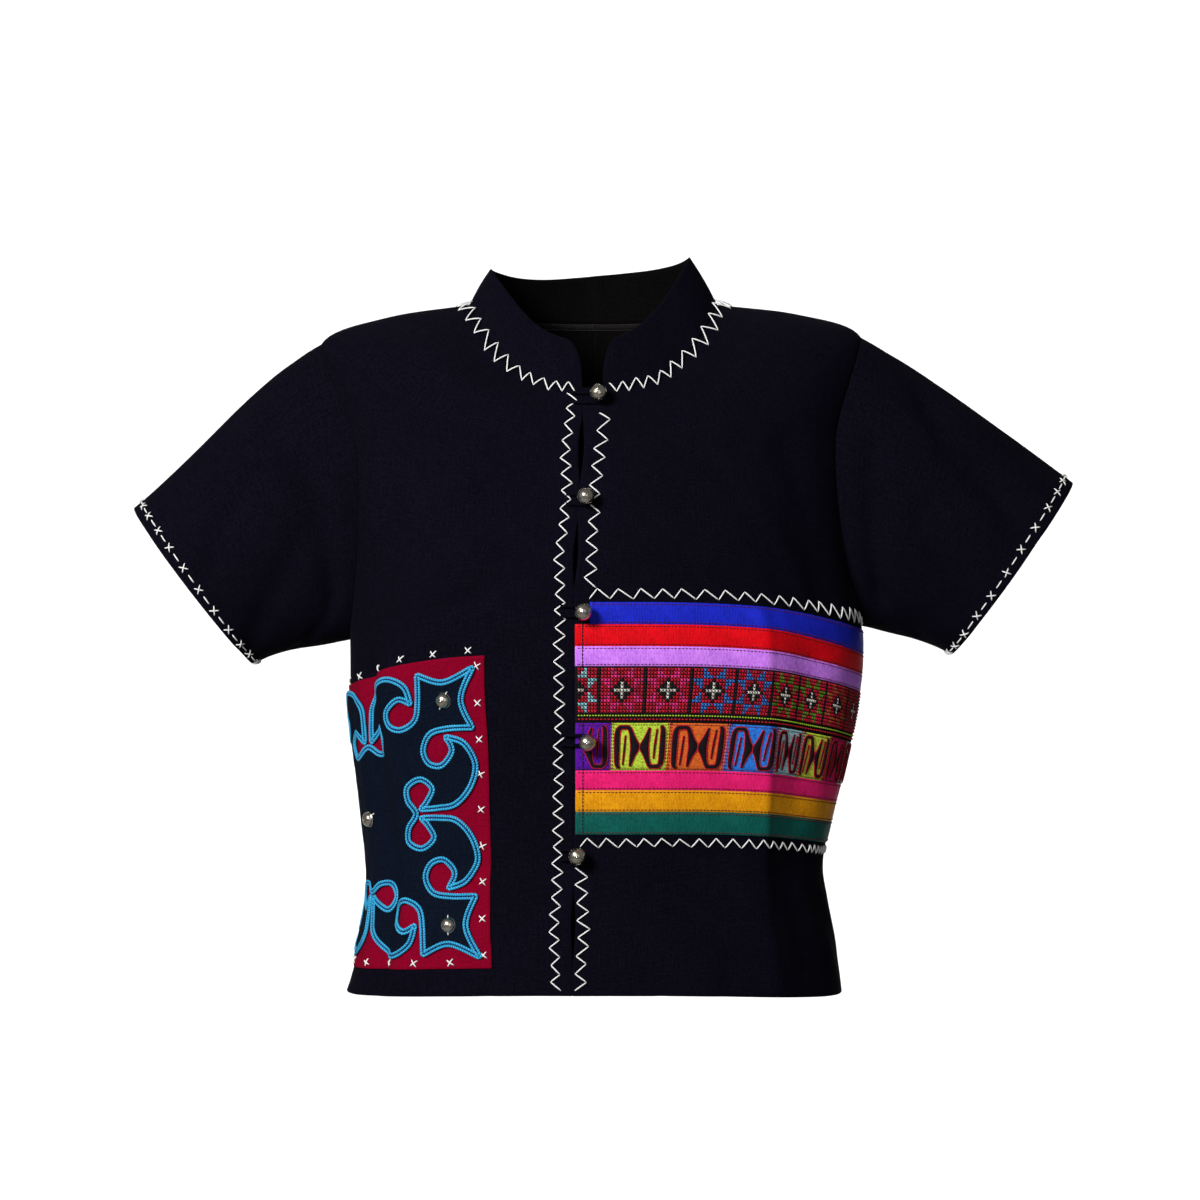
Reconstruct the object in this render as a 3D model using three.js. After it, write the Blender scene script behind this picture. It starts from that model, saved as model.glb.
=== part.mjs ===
// Embroidered crop top, filled out as if worn, with no wearer.
// Millimetres, +Z up. The front faces -Y and +X is the wearer's left.
// The origin lies between the side neck points, where the shoulders carry the top.
import * as THREE from "three";

const RIGHT = -1;
const LEFT = 1;
const QUARTER = Math.PI / 2;
const DEGREE = Math.PI / 180;

// Cloth
const WALL = 1.5;
const GAP = 0.3;
const LAYER = 1.0;

// Level sections of the body from the hem to the neck seam. front_z names a section and is its
// height at the centre front, where the cloth hangs a little higher than at its sides.
// right, left, front and back are how far the cloth stands from the upright axis.
// A larger bend keeps the cloth level for longer before it drops towards the side.
const SECTION_COLUMNS = [
  "front_z", "right_z", "left_z", "back_z", "right", "left", "front", "back", "squareness", "bend",
];
const SECTIONS = [
  [-494, -502, -503, -500, 181, 182, 108, 100, 2.3, 2.5],
  [-458, -467, -468, -464, 171, 178, 104, 92, 2.3, 3],
  [-424, -433, -434, -430, 164.5, 171.5, 101, 85, 2.3, 3.5],
  [-400, -411, -411, -407, 164.5, 168, 100, 83, 2.3, 4],
  [-362, -374, -375, -369, 169, 174, 103, 85, 2.3, 4],
  [-318, -334, -335, -326, 173.5, 184.5, 109, 89, 2.3, 4],
  [-272, -292, -292, -282, 178, 193, 115, 94, 2.3, 4],
  [-216, -246, -236, -232, 179, 196, 119, 97, 2.3, 3.5],
  [-184, -185, -178, -180, 180, 190, 117, 98, 2.25, 2.5],
  [-146, -100, -95, -118, 186, 190, 107, 92, 2.05, 2],
  [-110, -29, -24, -62, 200, 197, 95, 76, 1.8, 2],
  [-86, -9, -7, -32, 150, 150, 86, 68, 1.85, 2],
  [-66, 0, 0, -8, 91, 91, 77, 62, 2.0, 3.2],
].map((row) => Object.fromEntries(SECTION_COLUMNS.map((name, i) => [name, row[i]])));
const HEM = SECTIONS[0].front_z;
const NECK = SECTIONS[SECTIONS.length - 1].front_z;

// The largest folds of the body: troughs, or ridges where depth is below 0.
// Angles are degrees round from the centre front, heights are front_z.
const MM_PER_DEGREE = 2.7;
const BODY_FOLDS = [
  { angle: -70, top: -252, foot_angle: -69, foot: -486, width: 10, depth: 7 },
  { angle: -61, top: -262, foot_angle: -60, foot: -480, width: 15, depth: -3.5 },
  { angle: 50, top: -240, foot_angle: 57, foot: -488, width: 18, depth: -4.5 },
  { angle: 63, top: -250, foot_angle: 68, foot: -470, width: 14, depth: 2.5 },
  { angle: 62, top: -140, foot_angle: 66, foot: -205, width: 12, depth: 4 },
  { angle: -60, top: -145, foot_angle: -66, foot: -200, width: 12, depth: 3 },
  { angle: 128, top: -190, foot_angle: 122, foot: -400, width: 16, depth: 4 },
  { angle: -126, top: -200, foot_angle: -132, foot: -420, width: 16, depth: 4 },
];

// The open centre front: where the two edges meet, and where they bow apart between buttons
const OPENING_LINE = [
  { height: NECK, x: -7.0 },
  { height: -110, x: -8.9 },
  { height: -148, x: -10.3 },
  { height: -190, x: -12.8 },
  { height: -225, x: -13.8 },
  { height: -300, x: -13.8 },
  { height: -400, x: -14.0 },
  { height: HEM, x: -15.0 },
];
const SLITS = [
  { top: -78, foot: -142, open: 4.2 },
  { top: -154, foot: -216, open: 3.6 },
  { top: -412, foot: -480, open: 3.4 },
];

// Each armhole is a loop round the side line of the body
const ARMHOLE = { top: -110, foot: -216, front_reach: 15 * DEGREE, back_reach: 13.8 * DEGREE };
const ARMHOLE_STEPS = 9;

// Sleeves: the cuff is an ellipse, high from its lower to its upper point and deep from front to back
const SLEEVES = {
  [RIGHT]: { cuff_x: -293.3, cuff_z: -206.9, half_high: 72.6, half_deep: 47, lean: 37.4 * DEGREE },
  [LEFT]: { cuff_x: 306.5, cuff_z: -194, half_high: 77.5, half_deep: 46, lean: 35.3 * DEGREE },
};
const SLEEVE_STEPS = [0, 0.07, 0.17, 0.3, 0.45, 0.6, 0.75, 0.89, 1];
const SLEEVE_ROUND = 1.25;
const SLEEVE_LONG = 130;
const SLEEVE_FOLDS = {
  [RIGHT]: [
    { round: 45, along: 0.3, to_round: 128, to_along: 0.14, width: 12, depth: 5 },
    { round: 100, along: 0.35, to_round: 150, to_along: 0.95, width: 13, depth: 3.5 },
    { round: 235, along: 0.25, to_round: 300, to_along: 0.6, width: 14, depth: 4 },
  ],
  [LEFT]: [
    { round: 35, along: 0.35, to_round: 75, to_along: 0.95, width: 13, depth: 4 },
    { round: 70, along: 0.18, to_round: 135, to_along: 0.2, width: 12, depth: 4 },
    { round: 230, along: 0.3, to_round: 290, to_along: 0.7, width: 14, depth: 4 },
  ],
};

// Stand collar
const COLLAR = { height: 35, higher_left: 5, lean_front: 14 * DEGREE, lean_side: 16 * DEGREE };
// The collar is cut higher between its front ends and the side neck points
const COLLAR_HIGHER_FRONT = 8;
const COLLAR_ENDS = { left_x: 6.5, right_x: -8.5, corner: 14, end_height: 5 };

// Ribbon band on the left front, from its lower edge up
const BAND = [
  { name: "ribbon_green", foot: -381.6, top: -365.5, colour: 0x10583a },
  { name: "ribbon_gold", foot: -365.5, top: -350.2, colour: 0xe0980f },
  { name: "ribbon_pink", foot: -350.2, top: -336.2, colour: 0xe82470 },
  { name: "strip_squares", foot: -336.2, top: -302.7, colour: 0x7a3a8a },
  { name: "strip_cross_stitch", foot: -302.7, top: -262.9, colour: 0xb00828 },
  { name: "ribbon_lilac", foot: -262.9, top: -248.9, colour: 0xc878ff },
  { name: "ribbon_red", foot: -248.9, top: -233.6, colour: 0xe00c18 },
  { name: "ribbon_blue", foot: -233.6, top: -218.2, colour: 0x1a28b8 },
];
const BAND_INSET = 1.0;
const BLUE_RIBBON_X = -2.6;

// Square patch on the right front, wrapped over the side seam. Distances go round from the seam.
const PATCH = { half: 110, centre_height: -365, stud_at: 80 };
// How far round from the side seam the patch's middle lies, so that its front edge hangs straight
const PATCH_MIDDLE = [
  { height: -475, round: 50.5 },
  { height: -445, round: 40.5 },
  { height: -415, round: 35.6 },
  { height: -365, round: 41.0 },
  { height: -315, round: 50.2 },
  { height: -255, round: 57.4 },
];

// One eighth of the applique outline, from the middle of a side to the diagonal, all eight mirrored.
// sharp marks a point where the outline turns a corner.
const MOTIF_EIGHTH = [
  { out: 55, along: 0 },
  { out: 49, along: 10 },
  { out: 49, along: 20 },
  { out: 59, along: 25 },
  { out: 68, along: 18 },
  { out: 64, along: 9 },
  { out: 59, along: 3.2, sharp: true },
  { out: 72, along: 3.6 },
  { out: 86, along: 6 },
  { out: 97, along: 18 },
  { out: 101, along: 34 },
  { out: 93, along: 49 },
  { out: 80, along: 54, sharp: true },
  { out: 84, along: 44 },
  { out: 76, along: 34 },
  { out: 66, along: 36 },
  { out: 62, along: 46 },
  { out: 68, along: 57 },
  { out: 82, along: 60 },
  { out: 100, along: 60, sharp: true },
  { out: 93, along: 80 },
  { out: 102, along: 102, sharp: true },
];
const MOTIF_STEPS = 4;

// Buttons and loops
const BUTTONS = [
  { height: -74, x: 3.5 },
  { height: -147, x: -5.2 },
  { height: -224.5, x: -7.0 },
  { height: -314.6, x: -4.6, on_band: true },
  { height: -396, x: -11.6 },
];
const BALL = { radius: 6.2, foot_radius: 1.8, foot_height: 3.4, sides: 11 };
const LOOP = { radius: 1.2, tail: 9, ramp: 5, clear: 0.5, lift: 0.1 };
const STUD = { radius: 5.8, height: 4.4, rim: 0.8, lift: 0.35 };

// Rows of the body panels, by front_z: rows under the armholes, beside them, and over the shoulders
const BAND_ROWS = [
  HEM, -472, -450, -427, -404, -381.6, -365.5, -350.2, -336.2, -319.5, -302.7, -282.8, -262.9,
  -248.9, -233.6, -218.2,
];
const PATCH_FOOT = PATCH.centre_height - PATCH.half;
const PATCH_ROW_COUNT = 12;
const PATCH_ROW_STEP = 2 * PATCH.half / PATCH_ROW_COUNT;
const PATCH_ROWS = [
  HEM, ...Array.from({ length: PATCH_ROW_COUNT + 1 }, (_, i) => PATCH_FOOT + PATCH_ROW_STEP * i), -233,
];
const YOKE_ROWS = [-98, -86, -76, NECK];
const FRONT_COLUMNS = 13;
const BACK_COLUMNS = 20;

const NAVY = { color: 0x0c0c18, roughness: 0.92, metalness: 0 };
const SILVER = { color: 0xc8c4bc, roughness: 0.28, metalness: 1 };

function smooth(t) {
  const held = Math.min(1, Math.max(0, t));
  return held * held * (3 - 2 * held);
}

// A smooth curve through rows of a table, read at one value of their key
function through(rows, key, column, at) {
  const last = rows.length - 1;
  const rising = rows[last][key] > rows[0][key] ? 1 : -1;
  const held = rising > 0 ? Math.min(Math.max(at, rows[0][key]), rows[last][key])
    : Math.max(Math.min(at, rows[0][key]), rows[last][key]);
  let i = 0;
  while (i < last - 1 && rising * (held - rows[i + 1][key]) > 0) i += 1;
  const slope = (a, b) => (rows[b][column] - rows[a][column]) / (rows[b][key] - rows[a][key]);
  const span = rows[i + 1][key] - rows[i][key];
  const here = slope(i, i + 1);
  const before = i > 0 ? (slope(i - 1, i) + here) / 2 : here;
  const after = i + 2 <= last ? (here + slope(i + 1, i + 2)) / 2 : here;
  const t = (held - rows[i][key]) / span;
  const ease = t * t * (3 - 2 * t);
  const bend = t * (1 - t) * span * (before * (1 - t) - after * t);
  return rows[i][column] * (1 - ease) + rows[i + 1][column] * ease + bend;
}

// How far a point lies from a fold's line gives how deep the fold is there
function foldDepth(x, y, fold) {
  const run = [fold.x1 - fold.x0, fold.y1 - fold.y0];
  const along = ((x - fold.x0) * run[0] + (y - fold.y0) * run[1]) / (run[0] ** 2 + run[1] ** 2);
  const held = Math.min(1, Math.max(0, along));
  const away = Math.hypot(x - fold.x0 - held * run[0], y - fold.y0 - held * run[1]);
  return fold.depth * Math.exp(-((away / fold.width) ** 2));
}

const BODY_FOLD_LINES = BODY_FOLDS.map((fold) => ({
  x0: fold.angle * MM_PER_DEGREE, y0: fold.top, x1: fold.foot_angle * MM_PER_DEGREE, y1: fold.foot,
  width: fold.width, depth: fold.depth,
}));

// A point of the body's outer face. angle goes round from the centre front, to the left side first.
function bodyPoint(angle, height) {
  const at = (column) => through(SECTIONS, "front_z", column, height);
  const sine = Math.sin(angle);
  const cosine = Math.cos(angle);
  const side = sine < 0 ? at("right") : at("left");
  const side_z = sine < 0 ? at("right_z") : at("left_z");
  const deep = cosine > 0 ? at("front") : at("back");
  const middle_z = cosine > 0 ? height : at("back_z");
  const power = at("squareness");
  const round = (Math.abs(sine) / side) ** power + (Math.abs(cosine) / deep) ** power;
  const radius = round ** (-1 / power);
  const across = Math.min(1, Math.abs(radius * sine) / side);
  const degrees = Math.atan2(sine, cosine) / DEGREE * MM_PER_DEGREE;
  const folded = BODY_FOLD_LINES.reduce((sum, fold) => sum + foldDepth(degrees, height, fold), 0);
  const z = middle_z + (side_z - middle_z) * across ** at("bend");
  return new THREE.Vector3((radius - folded) * sine, -(radius - folded) * cosine, z);
}

function bodyNormal(angle, height) {
  const step = 0.004;
  const rise = 0.4;
  const low = Math.max(HEM, height - rise);
  const high = Math.min(NECK, height + rise);
  const round = bodyPoint(angle + step, height).sub(bodyPoint(angle - step, height));
  const up = bodyPoint(angle, high).sub(bodyPoint(angle, low));
  return round.cross(up).normalize();
}

// The angle that spans a distance round the body at one place
function angleFor(distance, angle, height) {
  const step = 0.002;
  return distance * 2 * step / bodyPoint(angle + step, height).distanceTo(bodyPoint(angle - step, height));
}

// The angle of a front point that lies at one x
function frontAngle(x, height) {
  const side = through(SECTIONS, "front_z", x < 0 ? "right" : "left", height);
  const deep = through(SECTIONS, "front_z", "front", height);
  const power = through(SECTIONS, "front_z", "squareness", height);
  return Math.atan2(x, deep * (1 - (Math.abs(x) / side) ** power) ** (1 / power));
}

function openingEdge(side, height) {
  let apart = GAP / 2;
  for (const slit of SLITS) {
    const t = (height - slit.foot) / (slit.top - slit.foot);
    if (t > 0 && t < 1) apart += slit.open / 2 * Math.sin(Math.PI * t) ** 2;
  }
  return through(OPENING_LINE, "height", "x", height) + side * apart;
}

// Round each armhole: turn 0 is the shoulder, a quarter the front, a half the underarm
function armholeAt(side, turn) {
  const reach = Math.sin(turn) > 0 ? ARMHOLE.front_reach : ARMHOLE.back_reach;
  const middle = (ARMHOLE.top + ARMHOLE.foot) / 2;
  const half = (ARMHOLE.top - ARMHOLE.foot) / 2;
  return { angle: side * (QUARTER - reach * Math.sin(turn)), height: middle + half * Math.cos(turn) };
}

function armholePoint(side, turn) {
  const at = armholeAt(side, turn);
  return bodyPoint(at.angle, at.height);
}

function sleeveHeading(side, turn) {
  const down = (21 + 7 * Math.cos(turn)) * DEGREE;
  return new THREE.Vector3(side * Math.cos(down), -0.12 * Math.sin(turn), -Math.sin(down)).normalize();
}

// Where two walls meet at a seam, both end on one face, which halves the angle between them.
// back leads from the seam's outer line to its inner line, and across points into the second wall.
function seamFace(along, first_normal, heading, outward) {
  const second_normal = along.clone().cross(heading).normalize();
  if (second_normal.dot(outward) < 0) second_normal.negate();
  const middle = first_normal.clone().add(second_normal).normalize();
  const across = along.clone().cross(middle).normalize();
  if (across.dot(heading) < 0) across.negate();
  const long = WALL / Math.max(0.5, middle.dot(first_normal));
  return { back: middle.multiplyScalar(-long), across, normal: second_normal };
}

function armholeFace(side, turn) {
  const at = armholeAt(side, turn);
  const along = armholePoint(side, turn + 0.01).sub(armholePoint(side, turn - 0.01)).normalize();
  const centre = armholePoint(side, QUARTER).add(armholePoint(side, -QUARTER)).multiplyScalar(0.5);
  const outward = armholePoint(side, turn).sub(centre);
  return seamFace(along, bodyNormal(at.angle, at.height), sleeveHeading(side, turn), outward);
}

function collarHeading(angle) {
  const seat = bodyPoint(angle, NECK);
  const outward = new THREE.Vector3(seat.x, seat.y, 0).normalize();
  const lean = COLLAR.lean_front + COLLAR.lean_side * Math.sin(angle) ** 2;
  return outward.multiplyScalar(-Math.sin(lean)).add(new THREE.Vector3(0, 0, Math.cos(lean)));
}

function neckFace(angle) {
  const along = bodyPoint(angle + 0.01, NECK).sub(bodyPoint(angle - 0.01, NECK)).normalize();
  const seat = bodyPoint(angle, NECK);
  const outward = new THREE.Vector3(seat.x, seat.y, 0);
  return seamFace(along, bodyNormal(angle, NECK), collarHeading(angle), outward);
}

// A closed solid from triangles between numbered points, turned to face outward
function solid(points, triangles) {
  let volume = 0;
  for (const [a, b, c] of triangles) {
    volume += points[a].dot(points[b].clone().cross(points[c]));
  }
  const order = volume < 0 ? triangles.map(([a, b, c]) => [a, c, b]) : triangles;
  const geometry = new THREE.BufferGeometry();
  const numbers = points.flatMap((p) => [p.x, p.y, p.z]);
  geometry.setAttribute("position", new THREE.Float32BufferAttribute(numbers, 3));
  geometry.setIndex(order.flat());
  geometry.computeVertexNormals();
  return geometry;
}

// A cloth wall between an outer and an inner grid of points, closed at its edges.
// ring says that each row runs round and meets itself.
function wallBetween(outer, inner, ring = false) {
  const rows = outer.length;
  const columns = outer[0].length;
  const points = [...outer.flat(), ...inner.flat()];
  const deep = rows * columns;
  const at = (row, column) => row * columns + (column % columns);
  const triangles = [];
  const quad = (a, b, c, d) => triangles.push([a, b, c], [a, c, d]);
  const spans = ring ? columns : columns - 1;
  for (let r = 0; r < rows - 1; r += 1) {
    for (let c = 0; c < spans; c += 1) {
      quad(at(r, c), at(r, c + 1), at(r + 1, c + 1), at(r + 1, c));
      quad(deep + at(r, c), deep + at(r + 1, c), deep + at(r + 1, c + 1), deep + at(r, c + 1));
    }
  }
  for (let c = 0; c < spans; c += 1) {
    quad(at(0, c), deep + at(0, c), deep + at(0, c + 1), at(0, c + 1));
    quad(at(rows - 1, c), at(rows - 1, c + 1), deep + at(rows - 1, c + 1), deep + at(rows - 1, c));
  }
  for (let r = 0; r < rows - 1 && !ring; r += 1) {
    quad(at(r, 0), at(r + 1, 0), deep + at(r + 1, 0), deep + at(r, 0));
    const end = columns - 1;
    quad(at(r, end), deep + at(r, end), deep + at(r + 1, end), at(r + 1, end));
  }
  return solid(points, triangles);
}

// Rows beside the armholes lie at even steps round them, so that sleeve and panel share their points
const ARMHOLE_TURNS = Array.from({ length: ARMHOLE_STEPS + 1 }, (_, i) => Math.PI * (1 - i / ARMHOLE_STEPS));
const rowsFrom = (low_rows) => [
  ...low_rows.map((height) => ({ height, turn: null })),
  ...ARMHOLE_TURNS.map((turn) => ({ height: armholeAt(LEFT, turn).height, turn })),
  ...YOKE_ROWS.map((height) => ({ height, turn: null })),
];

// The side edge of a front or back panel in one row: at the side seam, the armhole or the shoulder seam
function sideEdge(side, facing, row) {
  const seam = side * QUARTER;
  const aside = angleFor(GAP / 2, seam, row.height) * side * facing;
  const beside = row.turn !== null && row.turn > 0.01 && row.turn < Math.PI - 0.01;
  const angle = beside ? armholeAt(side, row.turn * facing).angle : seam - aside;
  const turn = row.turn === null ? null : row.turn * facing;
  return { angle, turn };
}

// A body panel's grid, from its start edge to its end edge in each row
function panelGrid(low_rows, columns, startOf, endOf) {
  return rowsFrom(low_rows).map((row) => {
    const start = startOf(row);
    const end = endOf(row);
    return Array.from({ length: columns + 1 }, (_, c) => {
      const angle = start.angle + (end.angle - start.angle) * c / columns;
      const normal = bodyNormal(angle, row.height);
      const point = bodyPoint(angle, row.height);
      let back = normal.clone().multiplyScalar(-WALL);
      if (row.height === NECK) back = neckFace(angle).back;
      if (c === 0 && start.turn !== null) back = armholeFace(start.side, start.turn).back;
      if (c === columns && end.turn !== null) back = armholeFace(end.side, end.turn).back;
      return { point, normal, angle, height: row.height, inner: point.clone().add(back) };
    });
  });
}

function frontGrid(side) {
  const startOf = (row) => ({ angle: frontAngle(openingEdge(side, row.height), row.height), turn: null });
  const low_rows = side === LEFT ? BAND_ROWS : PATCH_ROWS;
  return panelGrid(low_rows, FRONT_COLUMNS, startOf, (row) => ({ ...sideEdge(side, 1, row), side }));
}

// The back runs on from the right front's side seam, round to the left side seam
function backGrid() {
  const endOf = (row) => {
    const edge = sideEdge(LEFT, -1, row);
    return { angle: edge.angle - 2 * Math.PI, turn: edge.turn, side: LEFT };
  };
  return panelGrid(PATCH_ROWS, BACK_COLUMNS, (row) => ({ ...sideEdge(RIGHT, -1, row), side: RIGHT }), endOf);
}

function panelSolid(grid) {
  return wallBetween(grid.map((row) => row.map((p) => p.point)), grid.map((row) => row.map((p) => p.inner)));
}

// A point of a sleeve's outer face, from the armhole (along 0) to the cuff (along 1)
function sleevePoint(side, turn, along) {
  const sleeve = SLEEVES[side];
  const start = armholePoint(side, turn).addScaledVector(armholeFace(side, turn).across, GAP);
  const up = new THREE.Vector3(side * Math.sin(sleeve.lean), 0, Math.cos(sleeve.lean));
  const axis = new THREE.Vector3(side * Math.cos(sleeve.lean), 0, -Math.sin(sleeve.lean));
  const end = new THREE.Vector3(sleeve.cuff_x, 0, sleeve.cuff_z)
    .addScaledVector(up, sleeve.half_high * Math.cos(turn))
    .add(new THREE.Vector3(0, -sleeve.half_deep * Math.sin(turn), 0));
  const far = start.distanceTo(end);
  const t = along;
  return start.multiplyScalar((1 + 2 * t) * (1 - t) ** 2)
    .addScaledVector(sleeveHeading(side, turn), far * t * (1 - t) ** 2)
    .addScaledVector(end, t * t * (3 - 2 * t))
    .addScaledVector(axis, far * t * t * (t - 1));
}

function sleeveGrid(side) {
  const turns = Array.from({ length: 2 * ARMHOLE_STEPS }, (_, i) => Math.PI * i / ARMHOLE_STEPS);
  const folds = SLEEVE_FOLDS[side].map((fold) => ({
    x0: fold.round * SLEEVE_ROUND, y0: fold.along * SLEEVE_LONG,
    x1: fold.to_round * SLEEVE_ROUND, y1: fold.to_along * SLEEVE_LONG,
    width: fold.width, depth: fold.depth,
  }));
  return SLEEVE_STEPS.map((along) => turns.map((turn) => {
    const point = sleevePoint(side, turn, along);
    const round = sleevePoint(side, turn + 0.02, along).sub(sleevePoint(side, turn - 0.02, along));
    const near = Math.max(0, along - 0.01);
    const far = Math.min(1, along + 0.01);
    const out = sleevePoint(side, turn, far).sub(sleevePoint(side, turn, near));
    const normal = round.cross(out).normalize().multiplyScalar(side);
    const degrees = turn / DEGREE;
    const ease = Math.sin(Math.min(1, along * 5) * QUARTER) ** 2;
    const depth = folds.reduce(
      (sum, fold) => sum + foldDepth(degrees * SLEEVE_ROUND, along * SLEEVE_LONG, fold), 0) * ease;
    point.addScaledVector(normal, -depth);
    const back = along === 0 ? armholeFace(side, turn).back : normal.clone().multiplyScalar(-WALL);
    return { point, inner: point.clone().add(back) };
  }));
}

function sleeveSolid(side) {
  const grid = sleeveGrid(side);
  const outer = grid.map((row) => row.map((p) => p.point));
  return wallBetween(outer, grid.map((row) => row.map((p) => p.inner)), true);
}

// The collar stands on the panels' own neck points, with more columns at its rounded ends
function collarSolid(grids) {
  const neck = (grid) => grid[grid.length - 1].map((p) => p.angle);
  const start = frontAngle(COLLAR_ENDS.left_x, NECK);
  const end = frontAngle(COLLAR_ENDS.right_x, NECK) + 2 * Math.PI;
  const left = neck(grids.left).filter((angle) => angle > start + 0.3);
  const right = neck(grids.right).map((angle) => angle + 2 * Math.PI).filter((angle) => angle < end - 0.3);
  const back = neck(grids.back).map((angle) => angle + 2 * Math.PI).reverse();
  const corner_steps = [0, 0.025, 0.06, 0.11, 0.19];
  const angles = [
    ...corner_steps.map((step) => start + step), ...left, ...back.slice(1, -1),
    ...right.reverse(), ...corner_steps.map((step) => end - step).reverse(),
  ];
  const rows = [0, 0.35, 0.7, 1];
  const seat = (angle) => bodyPoint(angle, NECK);
  const ends = [seat(start), seat(end)];
  const grid = rows.map((share) => angles.map((angle) => {
    const face = neckFace(angle);
    const from_end = Math.min(seat(angle).distanceTo(ends[0]), seat(angle).distanceTo(ends[1]));
    const front_side = Math.cos(angle) > 0 ? Math.sin(2 * angle) ** 2 : 0;
    const full = COLLAR.height + COLLAR.higher_left * Math.sin(angle) + COLLAR_HIGHER_FRONT * front_side;
    const held = Math.min(1, from_end / COLLAR_ENDS.corner);
    const corner = Math.sqrt(1 - (1 - held) ** 2);
    const height = COLLAR_ENDS.end_height + (full - COLLAR_ENDS.end_height) * corner;
    const point = seat(angle).addScaledVector(face.across, GAP)
      .addScaledVector(collarHeading(angle), height * share);
    const back = share === 0 ? face.back : face.normal.clone().multiplyScalar(-WALL);
    return { point, inner: point.clone().add(back) };
  }));
  return wallBetween(grid.map((row) => row.map((p) => p.point)), grid.map((row) => row.map((p) => p.inner)));
}

// A ribbon lies on the left front's own points, moved out, and stops short of its neighbours
function ribbonSolid(grid, ribbon) {
  const middle = (a, b, t) => a.clone().lerp(b, t);
  const rows = grid.filter((row) => row[0].height > ribbon.foot - 0.01 && row[0].height < ribbon.top + 0.01);
  const inset = GAP / 2;
  const last = rows.length - 1;
  const layer = (lift) => rows.map((row, r) => {
    const next = r === 0 ? rows[1] : rows[r - 1];
    const share = r === 0 || r === last ? inset / Math.abs(next[0].height - row[0].height) : 0;
    const cells = row.map((p, c) => {
      const q = next[c];
      const point = middle(p.point, q.point, share);
      return point.addScaledVector(middle(p.normal, q.normal, share).normalize(), lift);
    });
    const start_x = ribbon.name === "ribbon_blue" ? BLUE_RIBBON_X : cells[0].x + BAND_INSET;
    const share_in = (start_x - cells[0].x) / (cells[1].x - cells[0].x);
    const seam_in = inset / cells[cells.length - 1].distanceTo(cells[cells.length - 2]);
    const first = middle(cells[0], cells[1], share_in);
    const end = middle(cells[cells.length - 1], cells[cells.length - 2], seam_in);
    return [first, ...cells.slice(1, -1), end];
  });
  return wallBetween(layer(GAP + LAYER), layer(GAP));
}

// The right front and the back as one grid round the side seam, with patch coordinates at each point
function patchGrid(front, back) {
  const rows = front.filter((row) => row[0].height < ARMHOLE.foot).map((row, r) => {
    const around = [...row, ...back[r].slice(1)];
    const seam = row.length - 1;
    const far = [0];
    for (let c = 1; c < around.length; c += 1) {
      far.push(far[c - 1] + around[c].point.distanceTo(around[c - 1].point));
    }
    return around.map((p, c) => ({
      point: p.point, normal: p.normal,
      across: far[seam] - far[c] - through(PATCH_MIDDLE, "height", "round", p.height),
      up: p.height - PATCH.centre_height,
    }));
  });
  return rows;
}

function halfway(a, b) {
  return {
    point: a.point.clone().lerp(b.point, 0.5), normal: a.normal.clone().lerp(b.normal, 0.5).normalize(),
    across: (a.across + b.across) / 2, up: (a.up + b.up) / 2,
  };
}

// Twice the rows and columns, with each new point on the panel's own flat faces
function finer(grid) {
  const fine = [];
  grid.forEach((row, r) => {
    const under = grid[r - 1];
    if (under) {
      const beside = (p, c) => (c ? [halfway(under[c - 1], p)] : []);
      fine.push(row.flatMap((p, c) => [...beside(p, c), halfway(under[c], p)]));
    }
    fine.push(row.flatMap((p, c) => (c ? [halfway(row[c - 1], p), p] : [p])));
  });
  return fine;
}

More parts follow.
